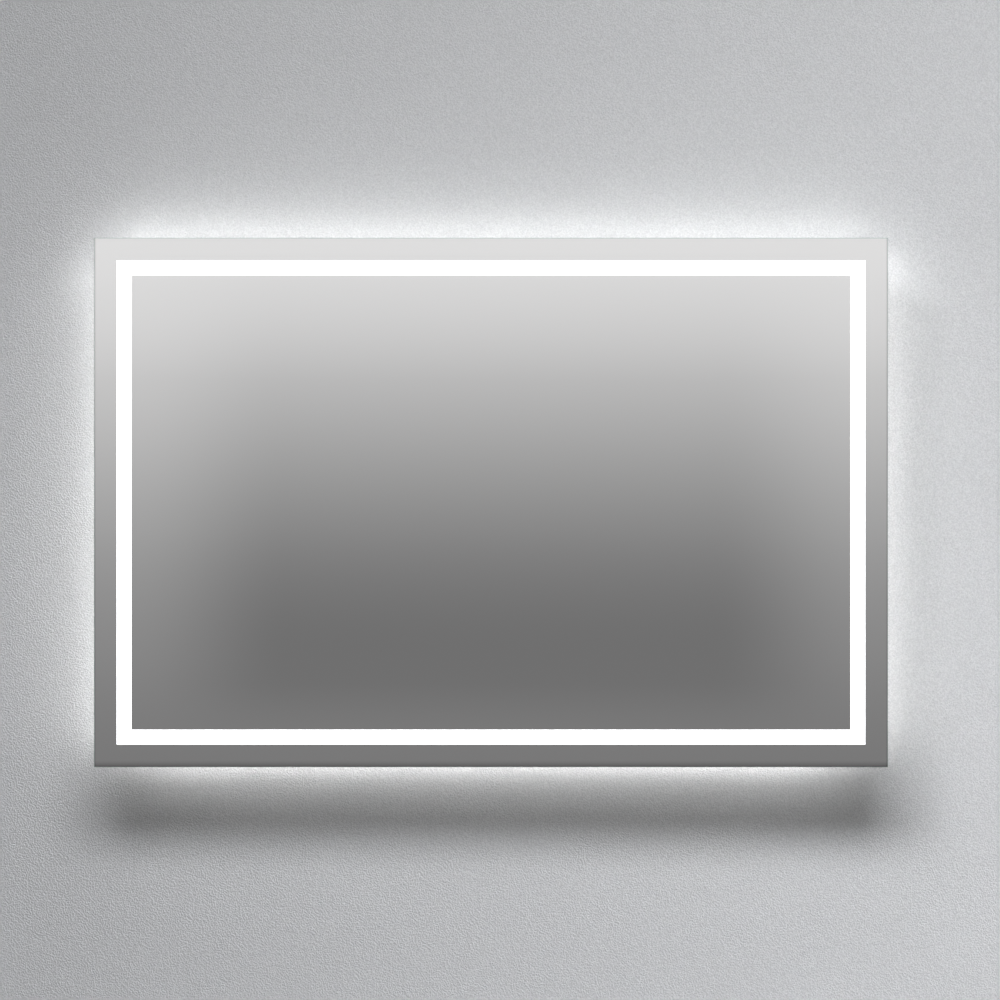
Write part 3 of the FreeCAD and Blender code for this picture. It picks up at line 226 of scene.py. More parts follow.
silvering, place = new_finish("silvering")
across, _, up = place.axes()
from_side = glass_high.x - abs(across)
from_bottom = up - glass_low.z
# Painted shade: the silver's colour is painted darker within about 3 mm of the sides and much darker within
# 8.5 mm of the bottom edge.
painted_side_shade = from_side.rise(-0.001, 0.0032).between((0.71, 0.70, 0.70, 1), (0.972, 0.966, 0.966, 1))
painted_bottom_shade = from_bottom.rise(-0.002, 0.0085).between((0.51, 0.51, 0.51, 1), (1, 1, 1, 1))
close_finish(
    place,
    {
        "Base Color": painted_side_shade.tinted(painted_bottom_shade),
        "Metallic": 1.0,
        "Roughness": 0.008 + place.noise(9.0).rise(0.45, 0.9) * 0.012,
    },
)

frosted_band, place = new_finish("frosted_band")
grain = place.noise(900.0)
close_finish(
    place,
    {
        "Base Color": (0.95, 0.96, 0.96, 1),
        "Roughness": 0.35 + grain * 0.2,
        "Emission Color": grain.between((0.97, 0.985, 1.0, 1), (1, 1, 1, 1)),
        "Emission Strength": 1.15,
    },
)

ground_edge, place = new_finish("ground_edge")
grinding = place.stretched((1, 0.15, 1)).noise(700.0, detail=3.0)
close_finish(
    place,
    {
        "Base Color": grinding.between((0.15, 0.24, 0.21, 1), (0.26, 0.38, 0.34, 1)),
        "Roughness": 0.22 + grinding * 0.25,
        "Coat Weight": 0.4,
        "Normal": grinding.bump(0.00004, 0.5),
    },
)

backing_paint, place = new_finish("backing_paint")
orange_peel = place.noise(350.0, detail=3.0)
close_finish(
    place,
    {
        "Base Color": place.noise(14.0).between((0.165, 0.178, 0.182, 1), (0.212, 0.226, 0.230, 1)),
        "Roughness": 0.42 + orange_peel * 0.15,
        "Normal": orange_peel.bump(0.00005, 0.6),
    },
)

pane = finished_piece(
    "mirror_pane", pane_bm, [silvering, frosted_band, ground_edge, backing_paint], smooth_angle=10
)
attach(pane, "mirror")
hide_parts("mirror_glass")

# --- frame bars --------------------------------------------------------------------------------------------
# Four lengths of one aluminium extrusion, mitred and pressed together on corner keys. The die leaves its
# corners a little round and fine lines along each bar, which is satin anodised. A dark line shows each mitre.


# Edges that turn by less than this many radians are left as they are.
LEAST_TURN = 0.3


def narrower_side(edge):
    """How wide the narrower of the two faces at an edge is, measured away from it."""
    return min(face.calc_area() for face in edge.link_faces) / edge.calc_length()


def rounded_shape(node, roundings):
    """A CAD node's own shape with some edges rounded. A rounding is a test of an edge, and a radius."""
    bm = bmesh.new()
    bm.from_mesh(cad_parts[node].data)
    bmesh.ops.remove_doubles(bm, verts=bm.verts, dist=1e-6)
    bmesh.ops.dissolve_limit(bm, angle_limit=math.radians(1), verts=bm.verts, edges=bm.edges)
    for chosen, radius in roundings:
        bmesh.ops.bevel(
            bm,
            geom=[edge for edge in bm.edges if edge.calc_face_angle() > LEAST_TURN and chosen(edge)],
            offset=radius,
            affect="EDGES",
            segments=3,
            profile=0.5,
            material=-1,
            clamp_overlap=True,
        )
    return bm


def rounded_piece(name, node, roundings, material, body):
    """The rounded shape as a piece that stands for its node, with its flat faces shaded flat."""
    made = finished_piece(name, rounded_shape(node, roundings), [material])
    made.modifiers.new("flat_faces", "WEIGHTED_NORMAL").keep_sharp = True
    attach(made, body)
    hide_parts(node)


DIE_CORNER = 0.00035
DIE_CORNER_FACE = 0.0012
LONG_EDGE = 0.3
MITRE_LINE = 0.0004
frame_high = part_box("frame_top")[1]
frame_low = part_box("frame_bottom")[0]
frame_middle = (frame_low.z + frame_high.z) / 2


def anodised(name, die_scale):
    """Anodised metal with its die lines along one direction, and a dark line at the mitres."""
    material, place = new_finish(name)
    die_lines = place.stretched(die_scale).noise(1.0, detail=3.0, roughness=0.65)
    cloud = place.noise(6.0)
    across, _, up = place.axes()
    from_mitre = (frame_high.x - abs(across)) - (frame_high.z - frame_middle - abs(up - frame_middle))
    mitre = abs(from_mitre).rise(MITRE_LINE, MITRE_LINE / 3)
    metal = die_lines.between((0.66, 0.67, 0.68, 1), (0.78, 0.79, 0.80, 1))
    close_finish(
        place,
        {
            "Base Color": mitre.between(metal, (0.16, 0.16, 0.17, 1)),
            "Metallic": 1.0,
            "Roughness": 0.26 + die_lines * 0.14 + cloud * 0.06,
            "Normal": (die_lines - mitre * 6).bump(0.00003, 0.5),
        },
    )
    return material


lying_bar = anodised("anodised_lying", (6, 1400, 1400))
upright_bar = anodised("anodised_upright", (1400, 1400, 6))
die_corners = [
    (
        lambda e: e.is_convex and e.calc_length() > LONG_EDGE and narrower_side(e) > DIE_CORNER_FACE,
        DIE_CORNER,
    )
]
for side, bar in (("top", lying_bar), ("bottom", lying_bar), ("left", upright_bar), ("right", upright_bar)):
    rounded_piece(f"bar_{side}", f"frame_{side}", die_corners, bar, "mirror")

# --- corner keys -------------------------------------------------------------------------------------------
# Die-cast zinc angles inside the corners, dull and a little grainy from the die.

die_cast, place = new_finish("die_cast")
casting = place.noise(260.0, detail=4.0)
close_finish(
    place,
    {
        "Base Color": casting.between((0.45, 0.46, 0.47, 1), (0.60, 0.61, 0.62, 1)),
        "Metallic": 1.0,
        "Roughness": 0.42 + casting * 0.2,
        "Normal": casting.bump(0.00012, 0.6),
    },
)


def dress(name, material):
    """Gives a CAD node its finish."""
    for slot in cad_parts[name].material_slots:
        slot.material = material


for corner in ("top_right", "top_left", "bottom_left", "bottom_right"):
    dress(f"corner_key_{corner}", die_cast)

# --- diffusers ---------------------------------------------------------------------------------------------
# Strips of opal acrylic: four behind the band in the pane, and four that stand in the frame's flanks and
# throw the glow on the wall. Both circuits are on. The left halo diffuser is at its full strength.

HALO_STRENGTH = 7.4
BAND_STRENGTH = 1.5
HALF_WIDTH = 0.46


def opal(name, strength, fall=0.0, share=1.0):
    """Opal acrylic lit from behind, dimmer towards the right by its fall. The colour stops at white."""
    material, place = new_finish(name)
    cloud = place.noise(40.0)
    across, _, _ = place.axes()
    brightest = 1 + fall * HALF_WIDTH
    level = (1 - across * fall) * (0.97 + cloud * 0.06) * (share / brightest)
    close_finish(
        place,
        {
            "Base Color": (0.93, 0.93, 0.92, 1),
            "Roughness": 0.28 + cloud * 0.1,
            "Emission Color": level.between((0, 0, 0, 1), (1, 1, 1, 1)),
            "Emission Strength": strength * brightest,
        },
    )
    return material


band_opal = opal("opal_band", BAND_STRENGTH)
for side, share in (("top", 0.76), ("left", 1.04), ("bottom", 0.46), ("right", 1.20)):
    fall = 0.55 if side in ("left", "right") else 0.85
    dress(f"halo_diffuser_{side}", opal(f"opal_halo_{side}", HALO_STRENGTH, fall, share))
    dress(f"front_diffuser_{side}", band_opal)

# --- strips of diodes --------------------------------------------------------------------------------------
# White boards 0.4 mm thick with a copper track along each edge and a diode every 33 mm, each with a
# drop of yellow phosphor that is lit. Soldered wires join the strips at three corners of each circuit.

BOARD_THICKNESS = 0.0004
DIODE_HEIGHT = 0.0008
DIODE_PITCH = 0.0333
PHOSPHOR = 0.0012
PAD = 0.0057
SOFT_EDGE = 0.0001
FAR_PITCHES = 50


def lit_board(node, outwards):
    """The finish of one strip, from its box. Its diodes stand up from the board to one side of it."""
    low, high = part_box(node)
    size = high - low
    thin, wide, long = sorted(range(3), key=lambda axis: size[axis])
    material, place = new_finish(f"{node}_board")
    axes = place.axes()
    base = low[thin] if outwards > 0 else high[thin]
    off_base = abs(axes[thin] - base)
    aside = abs(axes[wide] - (low[wide] + high[wide]) / 2)
    shift = FAR_PITCHES + (0.5 if int(size[long] / DIODE_PITCH) % 2 else 0)
    steps = (axes[long] - (low[long] + high[long]) / 2) / DIODE_PITCH + shift
    along = abs(steps.maths("FRACT") - 0.5) * DIODE_PITCH
    diode = off_base.rise(BOARD_THICKNESS + 0.00002, BOARD_THICKNESS + 0.00006)
    top = BOARD_THICKNESS + DIODE_HEIGHT
    crown = off_base.rise(top - 0.00006, top - 0.00002)
    drop = along.rise(PHOSPHOR + SOFT_EDGE, PHOSPHOR)
    drop = drop * aside.rise(PHOSPHOR * 0.8 + SOFT_EDGE, PHOSPHOR * 0.8)
    phosphor = crown * drop
    inner_side, outer_side = size[wide] * 0.32, size[wide] * 0.45
    track = aside.rise(inner_side, inner_side + SOFT_EDGE) * aside.rise(outer_side, outer_side - SOFT_EDGE)
    joint = along.rise(PAD + SOFT_EDGE, PAD - SOFT_EDGE)
    copper = track * joint * (1 - diode)
    speckle = place.noise(500.0)
    board = speckle.between((0.80, 0.80, 0.77, 1), (0.90, 0.90, 0.88, 1))
    board = copper.between(board, (0.72, 0.60, 0.44, 1))
    close_finish(
        place,
        {
            "Base Color": phosphor.between(board, (0.90, 0.72, 0.20, 1)),
            "Metallic": copper * 0.9,
            "Roughness": 0.4 + speckle * 0.1 - copper * 0.15,
            "Normal": (track * 0.5 + speckle * 0.1).bump(0.00003, 0.5),
            # Painted glow: outside the phosphor drops, the board and the diodes' sides glow faintly grey.
            "Emission Color": phosphor.between((0.10, 0.10, 0.095, 1), (1.0, 0.93, 0.74, 1)),
            "Emission Strength": 2.4,
        },
    )
    return material


for side, halo_outwards in (("top", 1), ("left", -1), ("bottom", -1), ("right", 1)):
    dress(f"front_strip_{side}", lit_board(f"front_strip_{side}", -1))
    dress(f"halo_strip_{side}", lit_board(f"halo_strip_{side}", halo_outwards))

tinned_wire, place = new_finish("tinned_wire")
solder = place.noise(300.0, detail=3.0)
close_finish(
    place,
    {
        "Base Color": solder.between((0.55, 0.56, 0.57, 1), (0.78, 0.78, 0.78, 1)),
        "Metallic": 1.0,
        "Roughness": 0.25 + solder * 0.2,
        "Normal": solder.bump(0.0001, 0.5),
    },
)
for circuit in ("front", "halo"):
    dress(f"{circuit}_strip_links", tinned_wire)

# --- bonding tape ------------------------------------------------------------------------------------------
# Double-sided white foam tape, 1 mm thick, in two runs between the frame and the pane.

foam_tape, place = new_finish("foam_tape")
cells = place.add("ShaderNodeTexVoronoi", {}, {"Vector": place, "Scale": 2200.0}, out="Distance")
close_finish(
    place,
    {
        "Base Color": cells.between((0.66, 0.66, 0.64, 1), (0.90, 0.90, 0.88, 1)),
        "Roughness": 0.9,
        "Normal": cells.bump(0.0001, 0.5),
    },
)
for run in ("outer", "inner"):
    dress(f"glass_tape_{run}", foam_tape)

# --- demister foil -----------------------------------------------------------------------------------------
# A clear foil with a printed heating track that runs to and fro, stuck to the back of the pane, and a
# moulded tab where its lead starts.

TRACK_PITCH = 0.012

heating_foil, place = new_finish("heating_foil")
across, _, up = place.axes()
row = (up / TRACK_PITCH).maths("FRACT")
track = abs(row - 0.5).rise(0.28, 0.22)
close_finish(
    place,
    {
        "Base Color": track.between((0.70, 0.72, 0.74, 1), (0.28, 0.28, 0.30, 1)),
        "Metallic": track * 0.7,
        "Roughness": 0.2 + track * 0.25,
        "Coat Weight": 0.5,
        "Normal": track.bump(0.00005, 0.5),
    },
)
dress("demister_pad", heating_foil)

# --- rear panel --------------------------------------------------------------------------------------------
# One sheet of steel, 1 mm thick, pressed with two stiffening swages and pierced with vents. It is powder
# coated off-white in a fine texture, as the wiring box and its cover are.

powder_coat, place = new_finish("powder_coat")
fine = place.noise(1500.0)
coarse = place.noise(420.0)
texture = fine * 0.5 + coarse * 0.5
shade = place.noise(3.0) * 0.6 + coarse * 0.4
close_finish(
    place,
    {
        "Base Color": shade.between((0.70, 0.71, 0.71, 1), (0.80, 0.81, 0.81, 1)),
        "Roughness": 0.42 + texture * 0.25,
        "Normal": texture.bump(0.00012, 0.55),
    },
)
SWAGE_BEND = 0.0008
SWAGE_LENGTH = 0.010
SWAGE_TURN = 1.0
swage_edges = [
    (lambda e: e.calc_length() > SWAGE_LENGTH and e.calc_face_angle() < SWAGE_TURN, SWAGE_BEND)
]
rounded_piece("pressed_panel", "back_panel", swage_edges, powder_coat, "mirror")
dress("wiring_box", powder_coat)
dress("wiring_cover", powder_coat)

# --- screws ------------------------------------------------------------------------------------------------
# Zinc-plated tapping screws with an indented hexagon head on a washer flange. Ten hold the panel, two the
# cover of the wiring box and two the driver.

bright_zinc, place = new_finish("bright_zinc")
rub = place.noise(220.0, detail=4.0, roughness=0.7)
close_finish(
    place,
    {
        "Base Color": rub.between((0.62, 0.64, 0.67, 1), (0.80, 0.81, 0.82, 1)),
        "Metallic": 1.0,
        "Roughness": 0.2 + rub * 0.2,
        "Normal": rub.bump(0.00004, 0.5),
    },
)


FLANGE_RADIUS = 0.0042
FLANGE_TOP_RADIUS = 0.0038
FLANGE_HEIGHT = 0.0006
HEXAGON_RADIUS = 0.0032
HEXAGON_HEIGHT = 0.0014
THREAD_RADIUS = 0.0014
THREAD_END_RADIUS = 0.0013
CROWN_EASE = 0.00035
CROWN_RIM = 0.0007
CROWN_DEPTH = 0.0005
HEADS_APART = 0.008


def screws(seats, shank):
    """Copies of the screw on their seats, heads towards the wall. A seat is where the flange rests."""
    bm = bmesh.new()
    upright = Matrix.Rotation(-math.pi / 2, 4, "X")
    for seat in seats:
        stand = Matrix.Translation(seat) @ upright
        bmesh.ops.create_cone(
            bm,
            cap_ends=True,
            segments=28,
            radius1=FLANGE_RADIUS,
            radius2=FLANGE_TOP_RADIUS,
            depth=FLANGE_HEIGHT,
            matrix=stand @ Matrix.Translation((0, 0, FLANGE_HEIGHT / 2)),
        )
        head = bmesh.ops.create_cone(
            bm,
            cap_ends=True,
            segments=6,
            radius1=HEXAGON_RADIUS,
            radius2=HEXAGON_RADIUS,
            depth=HEXAGON_HEIGHT,
            matrix=stand @ Matrix.Translation((0, 0, FLANGE_HEIGHT + HEXAGON_HEIGHT / 2)),
        )
        bmesh.ops.create_cone(
            bm,
            cap_ends=True,
            segments=12,
            radius1=THREAD_END_RADIUS,
            radius2=THREAD_RADIUS,
            depth=shank,
            matrix=stand @ Matrix.Translation((0, 0, -shank / 2)),
        )
        crown = max(
            {f for v in head["verts"] for f in v.link_faces}, key=lambda f: f.calc_center_median().y
        )
        bmesh.ops.bevel(
            bm,
            geom=list(crown.edges),
            offset=CROWN_EASE,
            affect="EDGES",
            segments=2,
            profile=0.5,
            material=-1,
        )
        crown = max(
            {f for f in bm.faces if (f.calc_center_median() - seat).length < FLANGE_RADIUS},
            key=lambda f: f.calc_center_median().y,
        )
        bmesh.ops.inset_region(bm, faces=[crown], thickness=CROWN_RIM, depth=-CROWN_DEPTH)
    return bm


def heads_of(node):
    """Where the screws of a CAD node sit: the middle of each head's seat, from the corners of its crown."""
    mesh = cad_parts[node].data
    rear = max(v.co.y for v in mesh.vertices)
    tops = [v.co for v in mesh.vertices if rear - v.co.y < 1e-5]
    groups = []
    for corner in tops:
        for group in groups:
            if (group[0] - corner).length < HEADS_APART:
                group.append(corner)
                break
        else:
            groups.append([corner])
    seat = rear - FLANGE_HEIGHT - HEXAGON_HEIGHT
    middles = []
    for group in groups:
        xs, zs = [c.x for c in group], [c.z for c in group]
        middles.append(Vector(((min(xs) + max(xs)) / 2, seat, (min(zs) + max(zs)) / 2)))
    return middles


for name, node, shank in (
    ("panel_screws", "back_panel_screws", 0.006),
    ("cover_screws", "wiring_cover_screws", 0.006),
    ("driver_ear_screws", "driver_screws", 0.0042),
):
    made = finished_piece(name, screws(heads_of(node), shank), [bright_zinc])
    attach(made, "mirror")
    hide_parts(node)

# --- hanging cleat and wall rail ---------------------------------------------------------------------------
# Two pressed steel hooks, 2 mm thick and zinc plated with a clear passivation. The cleat is spot-welded to
# the panel through its upper flange, and the rail has its slots and holes for the wall screws.

WELD_PITCH = 0.080
WELD_RADIUS = 0.0028
WELD_DOWN = 0.010


def zinc_plate(name, weld_height=None):
    """Plated steel, with a row of spot welds at a height where one is given."""
    material, place = new_finish(name)
    bloom = place.noise(55.0, detail=4.0, roughness=0.6)
    rolled = place.stretched((12, 900, 900)).noise(1.0, detail=2.0)
    colour = bloom.between((0.58, 0.61, 0.65, 1), (0.76, 0.77, 0.78, 1))
    height = rolled
    if weld_height is not None:
        across, _, up = place.axes()
        steps = across / WELD_PITCH + 20.0
        aside = (steps.maths("FRACT") - 0.5) * WELD_PITCH
        above = up - weld_height
        from_weld = (aside * aside + above * above).maths("SQRT")
        dimple = from_weld.rise(WELD_RADIUS, WELD_RADIUS * 0.75)
        scorch = from_weld.rise(WELD_RADIUS * 2.2, WELD_RADIUS)
        colour = scorch.between(colour, (0.40, 0.38, 0.36, 1))
        colour = dimple.between(colour, (0.56, 0.57, 0.58, 1))
        height = rolled - dimple * 9
    close_finish(
        place,
        {
            "Base Color": colour,
            "Metallic": 1.0,
            "Roughness": 0.24 + bloom * 0.12 + rolled * 0.1,
            "Normal": height.bump(0.00003, 0.4),
        },
    )
    return material


OUTER_BEND = 0.0022
OUTER_BEND_FACE = 0.003
INNER_BEND = 0.0005
INNER_BEND_FACE = 0.0008
bends = [
    (
        lambda e: e.is_convex and e.calc_length() > LONG_EDGE and narrower_side(e) > OUTER_BEND_FACE,
        OUTER_BEND,
    ),
    (
        lambda e: not e.is_convex and e.calc_length() > LONG_EDGE and narrower_side(e) > INNER_BEND_FACE,
        INNER_BEND,
    ),
]
welded = zinc_plate("welded_zinc_plate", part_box("hanging_cleat")[1].z - WELD_DOWN)
rounded_piece("pressed_cleat", "hanging_cleat", bends, welded, "mirror")
rounded_piece("pressed_rail", "wall_rail", bends, zinc_plate("rail_zinc_plate"), "wall_rail")

# --- rubber spacers ----------------------------------------------------------------------------------------
# Two moulded rubber feet that keep the bottom of the mirror off the wall.

matt_rubber, place = new_finish("matt_rubber")
bloom = place.noise(180.0, detail=4.0)
close_finish(
    place,
    {
        "Base Color": bloom.between((0.018, 0.018, 0.019, 1), (0.045, 0.045, 0.047, 1)),
        "Roughness": 0.62 + bloom * 0.2,
        "Normal": bloom.bump(0.00006, 0.5),
    },
)


TURN_STEPS = 48
FOOT_RADIUS = 0.0100
FOOT_TIP_RADIUS = 0.0088
FOOT_FLANGE = 0.002
POCKET_RADIUS = 0.0046
POCKET_FLOOR_RADIUS = 0.0042
POCKET_DEPTH = 0.004
FOOT_ROUNDING = 0.0006


def turned(profile, centre, rounding):
    """A piece turned about an axis along Y, from pairs of radius and place along it, corners rounded."""
    bm = bmesh.new()
    points = [bm.verts.new((radius, along, 0)) for radius, along in profile]
    closed = profile[0][0] > 0
    following = points[1:] + (points[:1] if closed else [])
    for pair in zip(points, following):
        bm.edges.new(pair)
    bmesh.ops.bevel(
        bm,
        geom=points if closed else points[1:-1],
        offset=rounding,
        affect="VERTICES",
        segments=3,
        profile=0.5,
        material=-1,
    )
    bmesh.ops.spin(
        bm,
        geom=bm.verts[:] + bm.edges[:],
        cent=(0, 0, 0),
        axis=(0, 1, 0),
        angle=math.tau,
        steps=TURN_STEPS,
        use_merge=True,
    )
    bmesh.ops.remove_doubles(bm, verts=bm.verts, dist=1e-6)
    bmesh.ops.recalc_face_normals(bm, faces=bm.faces)
    bmesh.ops.translate(bm, vec=centre, verts=bm.verts)
    return bm


for hand in ("left", "right"):
    low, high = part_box(f"spacer_{hand}")
    centre = (low + high) / 2
    reach = (high.y - low.y) / 2
    foot = [
        (0, -reach),
        (FOOT_RADIUS, -reach),
        (FOOT_RADIUS, -reach + FOOT_FLANGE),
        (FOOT_TIP_RADIUS, reach),
        (POCKET_RADIUS, reach),
        (POCKET_FLOOR_RADIUS, reach - POCKET_DEPTH),
        (0, reach - POCKET_DEPTH),
    ]
    made = finished_piece(f"rubber_foot_{hand}", turned(foot, centre, FOOT_ROUNDING), [matt_rubber])
    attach(made, "mirror")
    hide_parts(f"spacer_{hand}")

# --- inlet grommet -----------------------------------------------------------------------------------------
# A moulded rubber grommet in the cover of the wiring box, with a bore for the house's cable.

BORE_RADIUS = 0.0040
NECK_RADIUS = 0.0064
COLLAR_RADIUS = 0.0095
GROMMET_ROUNDING = 0.0005

low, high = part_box("inlet_grommet")
cover_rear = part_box("wiring_cover")[1].y
centre = Vector(((low.x + high.x) / 2, 0, (low.z + high.z) / 2))
ring = [
    (BORE_RADIUS, low.y),
    (NECK_RADIUS, low.y),
    (NECK_RADIUS, cover_rear),
    (COLLAR_RADIUS, cover_rear),
    (COLLAR_RADIUS, high.y),
    (BORE_RADIUS, high.y),
]
grommet = finished_piece("grommet", turned(ring, centre, GROMMET_ROUNDING), [matt_rubber])
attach(grommet, "mirror")
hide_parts("inlet_grommet")

# --- driver, terminal block and leads ----------------------------------------------------------------------
# The moulded driver with its green board, the terminal block in the wiring box, and the leads with their
# bushings, clips and plug. All sit between the pane and the rear panel, and show only through its vents.

white_moulding, place = new_finish("white_moulding")
spark = place.noise(800.0)
close_finish(
    place,
    {
        "Base Color": place.noise(20.0).between((0.80, 0.80, 0.78, 1), (0.88, 0.88, 0.87, 1)),
        "Roughness": 0.45 + spark * 0.15,
        "Normal": spark.bump(0.00004, 0.5),
    },
)
for node in ("driver_case", "driver_lid", "terminal_block", "strip_plug", "lead_bushings", "cable_clips"):
    dress(node, white_moulding)

COMPONENTS_FROM = -0.0136
COMPONENTS_FULL = -0.0140

green_board, place = new_finish("green_board")
_, depth, _ = place.axes()
component = depth.rise(COMPONENTS_FROM, COMPONENTS_FULL)
weave = place.noise(600.0)
close_finish(
    place,
    {
        "Base Color": component.between((0.02, 0.16, 0.07, 1), (0.05, 0.05, 0.06, 1)),
        "Roughness": 0.35 + weave * 0.2,
        "Coat Weight": 0.3,
        "Normal": weave.bump(0.00005, 0.5),
    },
)
dress("driver_board", green_board)
dress("terminal_screws", bright_zinc)

lead_sheath, place = new_finish("lead_sheath")
sheen = place.noise(120.0)
close_finish(
    place,
    {
        "Base Color": sheen.between((0.76, 0.76, 0.75, 1), (0.86, 0.86, 0.85, 1)),
        "Roughness": 0.35 + sheen * 0.15,
        "Normal": sheen.bump(0.00005, 0.4),
    },
)
for node in ("mains_lead", "front_strip_lead", "halo_strip_lead", "demister_lead"):
    dress(node, lead_sheath)

# --- wall and floor ----------------------------------------------------------------------------------------
# A plastered wall behind the mirror and a plain pale floor under it. Both are seen from one side only, so
# that the mirror shows from behind and from below too.


def one_sided(flow, surface):
    """Shows a surface from the side that its normal points to."""
    rear = flow.add("ShaderNodeNewGeometry", out="Backfacing")
    clear = flow.add("ShaderNodeBsdfTransparent")
    shown = flow.add("ShaderNodeMixShader", {}, {0: rear, 1: surface, 2: clear})
    flow.add("ShaderNodeOutputMaterial", {}, {"Surface": shown})


def backdrop(name, corners, material):
    """One flat face that stands round the object and isn't a piece of it."""
    mesh = bpy.data.meshes.new(name)
    bm = bmesh.new()
    bm.faces.new([bm.verts.new(corner) for corner in corners])
    bm.to_mesh(mesh)
    bm.free()
    mesh.materials.append(material)
    made = bpy.data.objects.new(name, mesh)
    bpy.context.scene.collection.objects.link(made)
    made.visible_shadow = made.visible_glossy = made.visible_diffuse = False
    return made


# The plaster's colour is painted lighter to the right, between two limits: painted light, standing in for
# light falling off across the wall.
MIDDLE_TONE = 0.709
LIGHTER_PER_METRE = 0.262
DARKEST_TONE = 0.53
LIGHTEST_TONE = 0.9

plaster, place = new_finish("plaster")
across, _, _ = place.axes()
painted_light_tone = across * LIGHTER_PER_METRE + MIDDLE_TONE
painted_light_tone = painted_light_tone.maths("MINIMUM", LIGHTEST_TONE).maths("MAXIMUM", DARKEST_TONE)
bumps = place.noise(600.0)
one_sided(
    place,
    place.add(
        "ShaderNodeBsdfPrincipled",
        {},
        {
            "Base Color": (painted_light_tone * (0.75 + bumps * 0.50)).between((0, 0, 0, 1), (1, 1, 1, 1)),
            "Roughness": 0.9,
            "Specular IOR Level": 0.1,
            "Normal": bumps.bump(0.0013, 0.9),
        },
    ),
)
WALL_Y = 0.0005
WALL_REACH = 2.4
WALL_TOP = 1.7
FLOOR_Z = -1.5
backdrop(
    "wall",
    [
        (-WALL_REACH, WALL_Y, FLOOR_Z),
        (WALL_REACH, WALL_Y, FLOOR_Z),
        (WALL_REACH, WALL_Y, WALL_TOP),
        (-WALL_REACH, WALL_Y, WALL_TOP),
    ],
    plaster,
)

pale_floor, place = new_finish("pale_floor")
one_sided(
    place,
    place.add("ShaderNodeBsdfPrincipled", {}, {"Base Color": (0.84, 0.84, 0.84, 1), "Roughness": 0.6}),
)
floor = backdrop(
    "floor", [(-5, -6, FLOOR_Z), (5, -6, FLOOR_Z), (5, 6, FLOOR_Z), (-5, 6, FLOOR_Z)], pale_floor
)

# --- light -------------------------------------------------------------------------------------------------
# A row of soft washers high in front, which draw the shadow under the mirror, two lights from behind for the
# other views, and a room that is bright above and dim below, which the mirror shows.


def far_light(name, azimuth, elevation, strength, breadth):
    """A distant light. Azimuth 0 comes from the front, and 90 from the right."""
    lamp = bpy.data.lights.new(name, "SUN")
    lamp.energy = strength
    lamp.angle = math.radians(breadth)
    a, e = math.radians(azimuth), math.radians(elevation)
    towards = Vector((math.sin(a) * math.cos(e), -math.cos(a) * math.cos(e), math.sin(e)))
    made = bpy.data.objects.new(name, lamp)
    made.rotation_euler = towards.to_track_quat("Z", "Y").to_euler()
    bpy.context.scene.collection.objects.link(made)


# The wall washers throw more light the further down they reach, so that the wall is lit evenly. They miss
# the floor.
WASHER_REACH = 1.15
WASHER_HEIGHT = 1.84
WASHER_POWER = 4.70
WASHER_RADIUS = 0.34
REACH_POWER = -3.15
LEAST_AHEAD = 0.08
not_the_floor = bpy.data.collections.new("not_the_floor")
not_the_floor.objects.link(floor)
not_the_floor.collection_objects[0].light_linking.link_state = "EXCLUDE"
for aside in (-1.3, -0.75, -0.2, 0.35, 0.9):
    bulb = bpy.data.lights.new("wall_washer", "POINT")
    bulb.energy = WASHER_POWER
    bulb.shadow_soft_size = WASHER_RADIUS
    bulb.use_nodes = True
    bulb.node_tree.nodes.clear()
    towards = Flow(bulb.node_tree).add("ShaderNodeTexCoord", out="Normal")
    _, ahead, _ = towards.axes()
    ahead = ahead.maths("MAXIMUM", LEAST_AHEAD)
    even = ahead.maths("POWER", REACH_POWER) * ahead.rise(LEAST_AHEAD, 0.2)
    lit = towards.add("ShaderNodeEmission", {}, {"Color": (0.984, 1.0, 1.032, 1), "Strength": even})
    towards.add("ShaderNodeOutputLight", {}, {"Surface": lit})
    washer = bpy.data.objects.new("wall_washer", bulb)
    washer.location = (aside, -WASHER_REACH, WASHER_HEIGHT)
    washer.visible_glossy = False
    washer.light_linking.receiver_collection = not_the_floor
    bpy.context.scene.collection.objects.link(washer)
far_light("rear_key", 228, 40, 2.9, 12)
far_light("rear_fill", 150, 8, 0.6, 30)

# Four thin strips behind the bottom edge, turned half towards the wall, brighten the glow along it. They
# differ in length, so that the glow fades at its ends, and lie one above another.
GLOW_PER_METRE = 0.0262
GLOW_STRIP_WIDTH = 0.004
GLOW_STRIP_Y = -0.0145
GLOW_LOWEST = 0.002
GLOW_STEP = 0.0014
for step, length in enumerate((0.722, 0.780, 0.838, 0.896)):
    glow = bpy.data.lights.new("lower_glow", "AREA")
    glow.shape = "RECTANGLE"
    glow.size, glow.size_y = length, GLOW_STRIP_WIDTH
    glow.energy = GLOW_PER_METRE * length
    lower_glow = bpy.data.objects.new("lower_glow", glow)
    lower_glow.location = (0, GLOW_STRIP_Y, glass_low.z + GLOW_LOWEST + step * GLOW_STEP)
    lower_glow.rotation_euler = (math.radians(45), 0, 0)
    lower_glow.visible_camera = lower_glow.visible_glossy = False
    bpy.context.scene.collection.objects.link(lower_glow)

# The room as the mirror shows it: a level by height, a dimmer ceiling, a paler floor, brighter side walls and
# a dim patch opposite the mirror. The camera sees one plain grey, and the wall is lit by another.
AMBIENT = 0.165
BACKGROUND = 0.46
DIM_DEPTH = 0.38

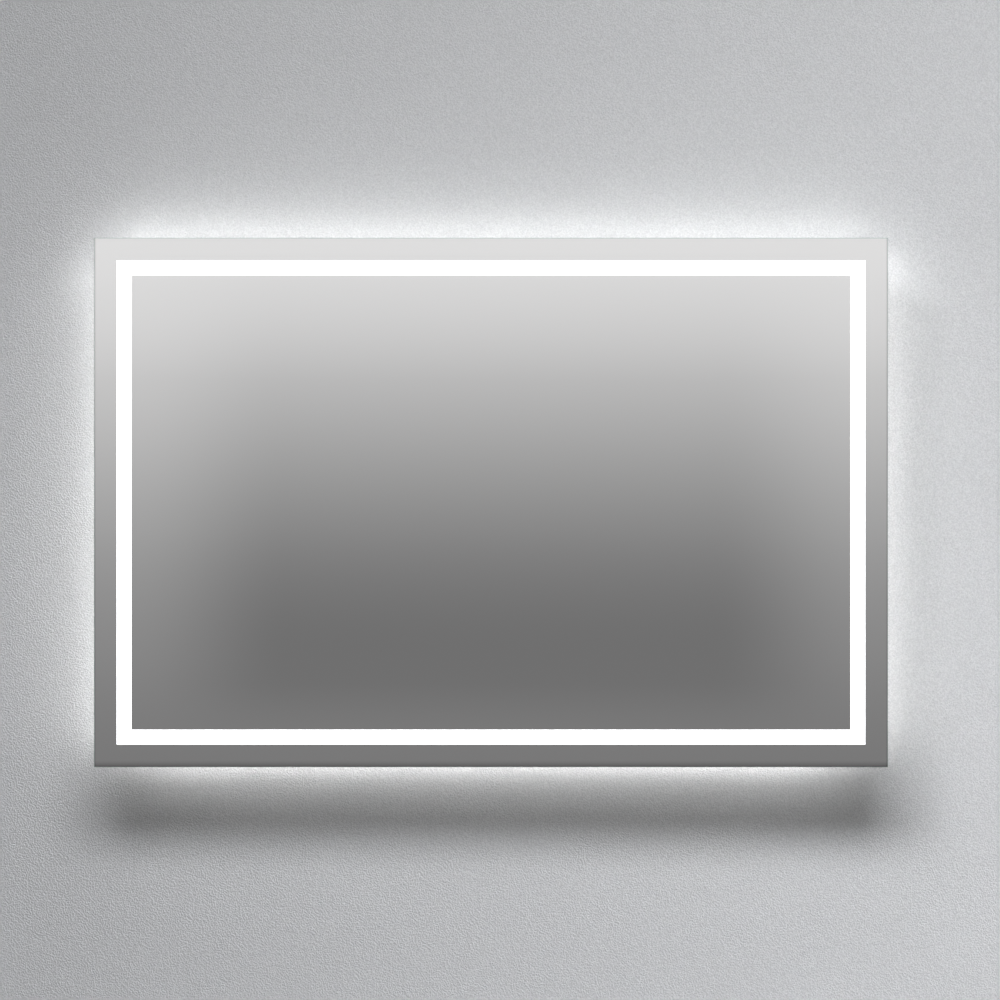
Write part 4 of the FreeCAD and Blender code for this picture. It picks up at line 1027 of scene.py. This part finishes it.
room = bpy.data.worlds.new("room")
bpy.context.scene.world = room
room.use_nodes = True
room.node_tree.nodes.clear()
direction = Flow(room.node_tree).add("ShaderNodeTexCoord", out="Generated")
across, forward, up = direction.axes()
height = (up + 0.1) / 0.2
near_level = height.ramp(
    [(0.0, 0.185), (0.2, 0.24), (0.44, 0.328), (0.73, 0.60), (0.9, 0.735), (1.0, 0.76)]
)
ceiling = 1 - up.rise(0.14, 0.75) * 0.62
ground = up.rise(-0.13, -0.55) * 0.27
side_walls = abs(across).rise(0.2, 0.95) * 0.22
dim_height = height.ramp(
    [(0.0, 0.0), (0.06, 0.0), (0.15, 0.8), (0.29, 1.05), (0.5, 0.66), (0.72, 0.38), (0.95, 0.0)]
)
dim_across = 1 - abs(across).rise(0.08, 0.142)
ahead = 1 - forward.rise(-0.5, 0.0)
dimmed = 1 - dim_height * dim_across * ahead * DIM_DEPTH
seen = (near_level * ceiling + ground + side_walls) * dimmed
rays = direction.add("ShaderNodeLightPath").socket.node
camera_ray = Flow(room.node_tree, rays.outputs["Is Camera Ray"])
glossy_ray = Flow(room.node_tree, rays.outputs["Is Glossy Ray"])
strength = camera_ray * BACKGROUND + glossy_ray * seen + (1 - camera_ray - glossy_ray) * AMBIENT
background = direction.add("ShaderNodeBackground", {}, {"Color": (1, 1, 1, 1), "Strength": strength})
direction.add("ShaderNodeOutputWorld", {}, {"Surface": background})

# --- camera ------------------------------------------------------------------------------------------------
# Straight in front, 3 m from the pane, a little right of and above its middle.

DISTANCE = 3.0
FRAME_WIDTH = 1.15164
CAMERA_RIGHT = 0.0104
CAMERA_ABOVE = 0.0029
lens = bpy.data.cameras.new("camera")
lens.sensor_width = 36
lens.lens = lens.sensor_width * DISTANCE / FRAME_WIDTH
camera = bpy.data.objects.new("camera", lens)
glass_middle = (glass_low.z + glass_high.z) / 2
camera.location = (CAMERA_RIGHT, glass_low.y - DISTANCE, glass_middle + CAMERA_ABOVE)
camera.rotation_euler = (math.pi / 2, 0, 0)
bpy.context.scene.collection.objects.link(camera)
bpy.context.scene.camera = camera
bpy.context.scene.view_settings.view_transform = "Standard"
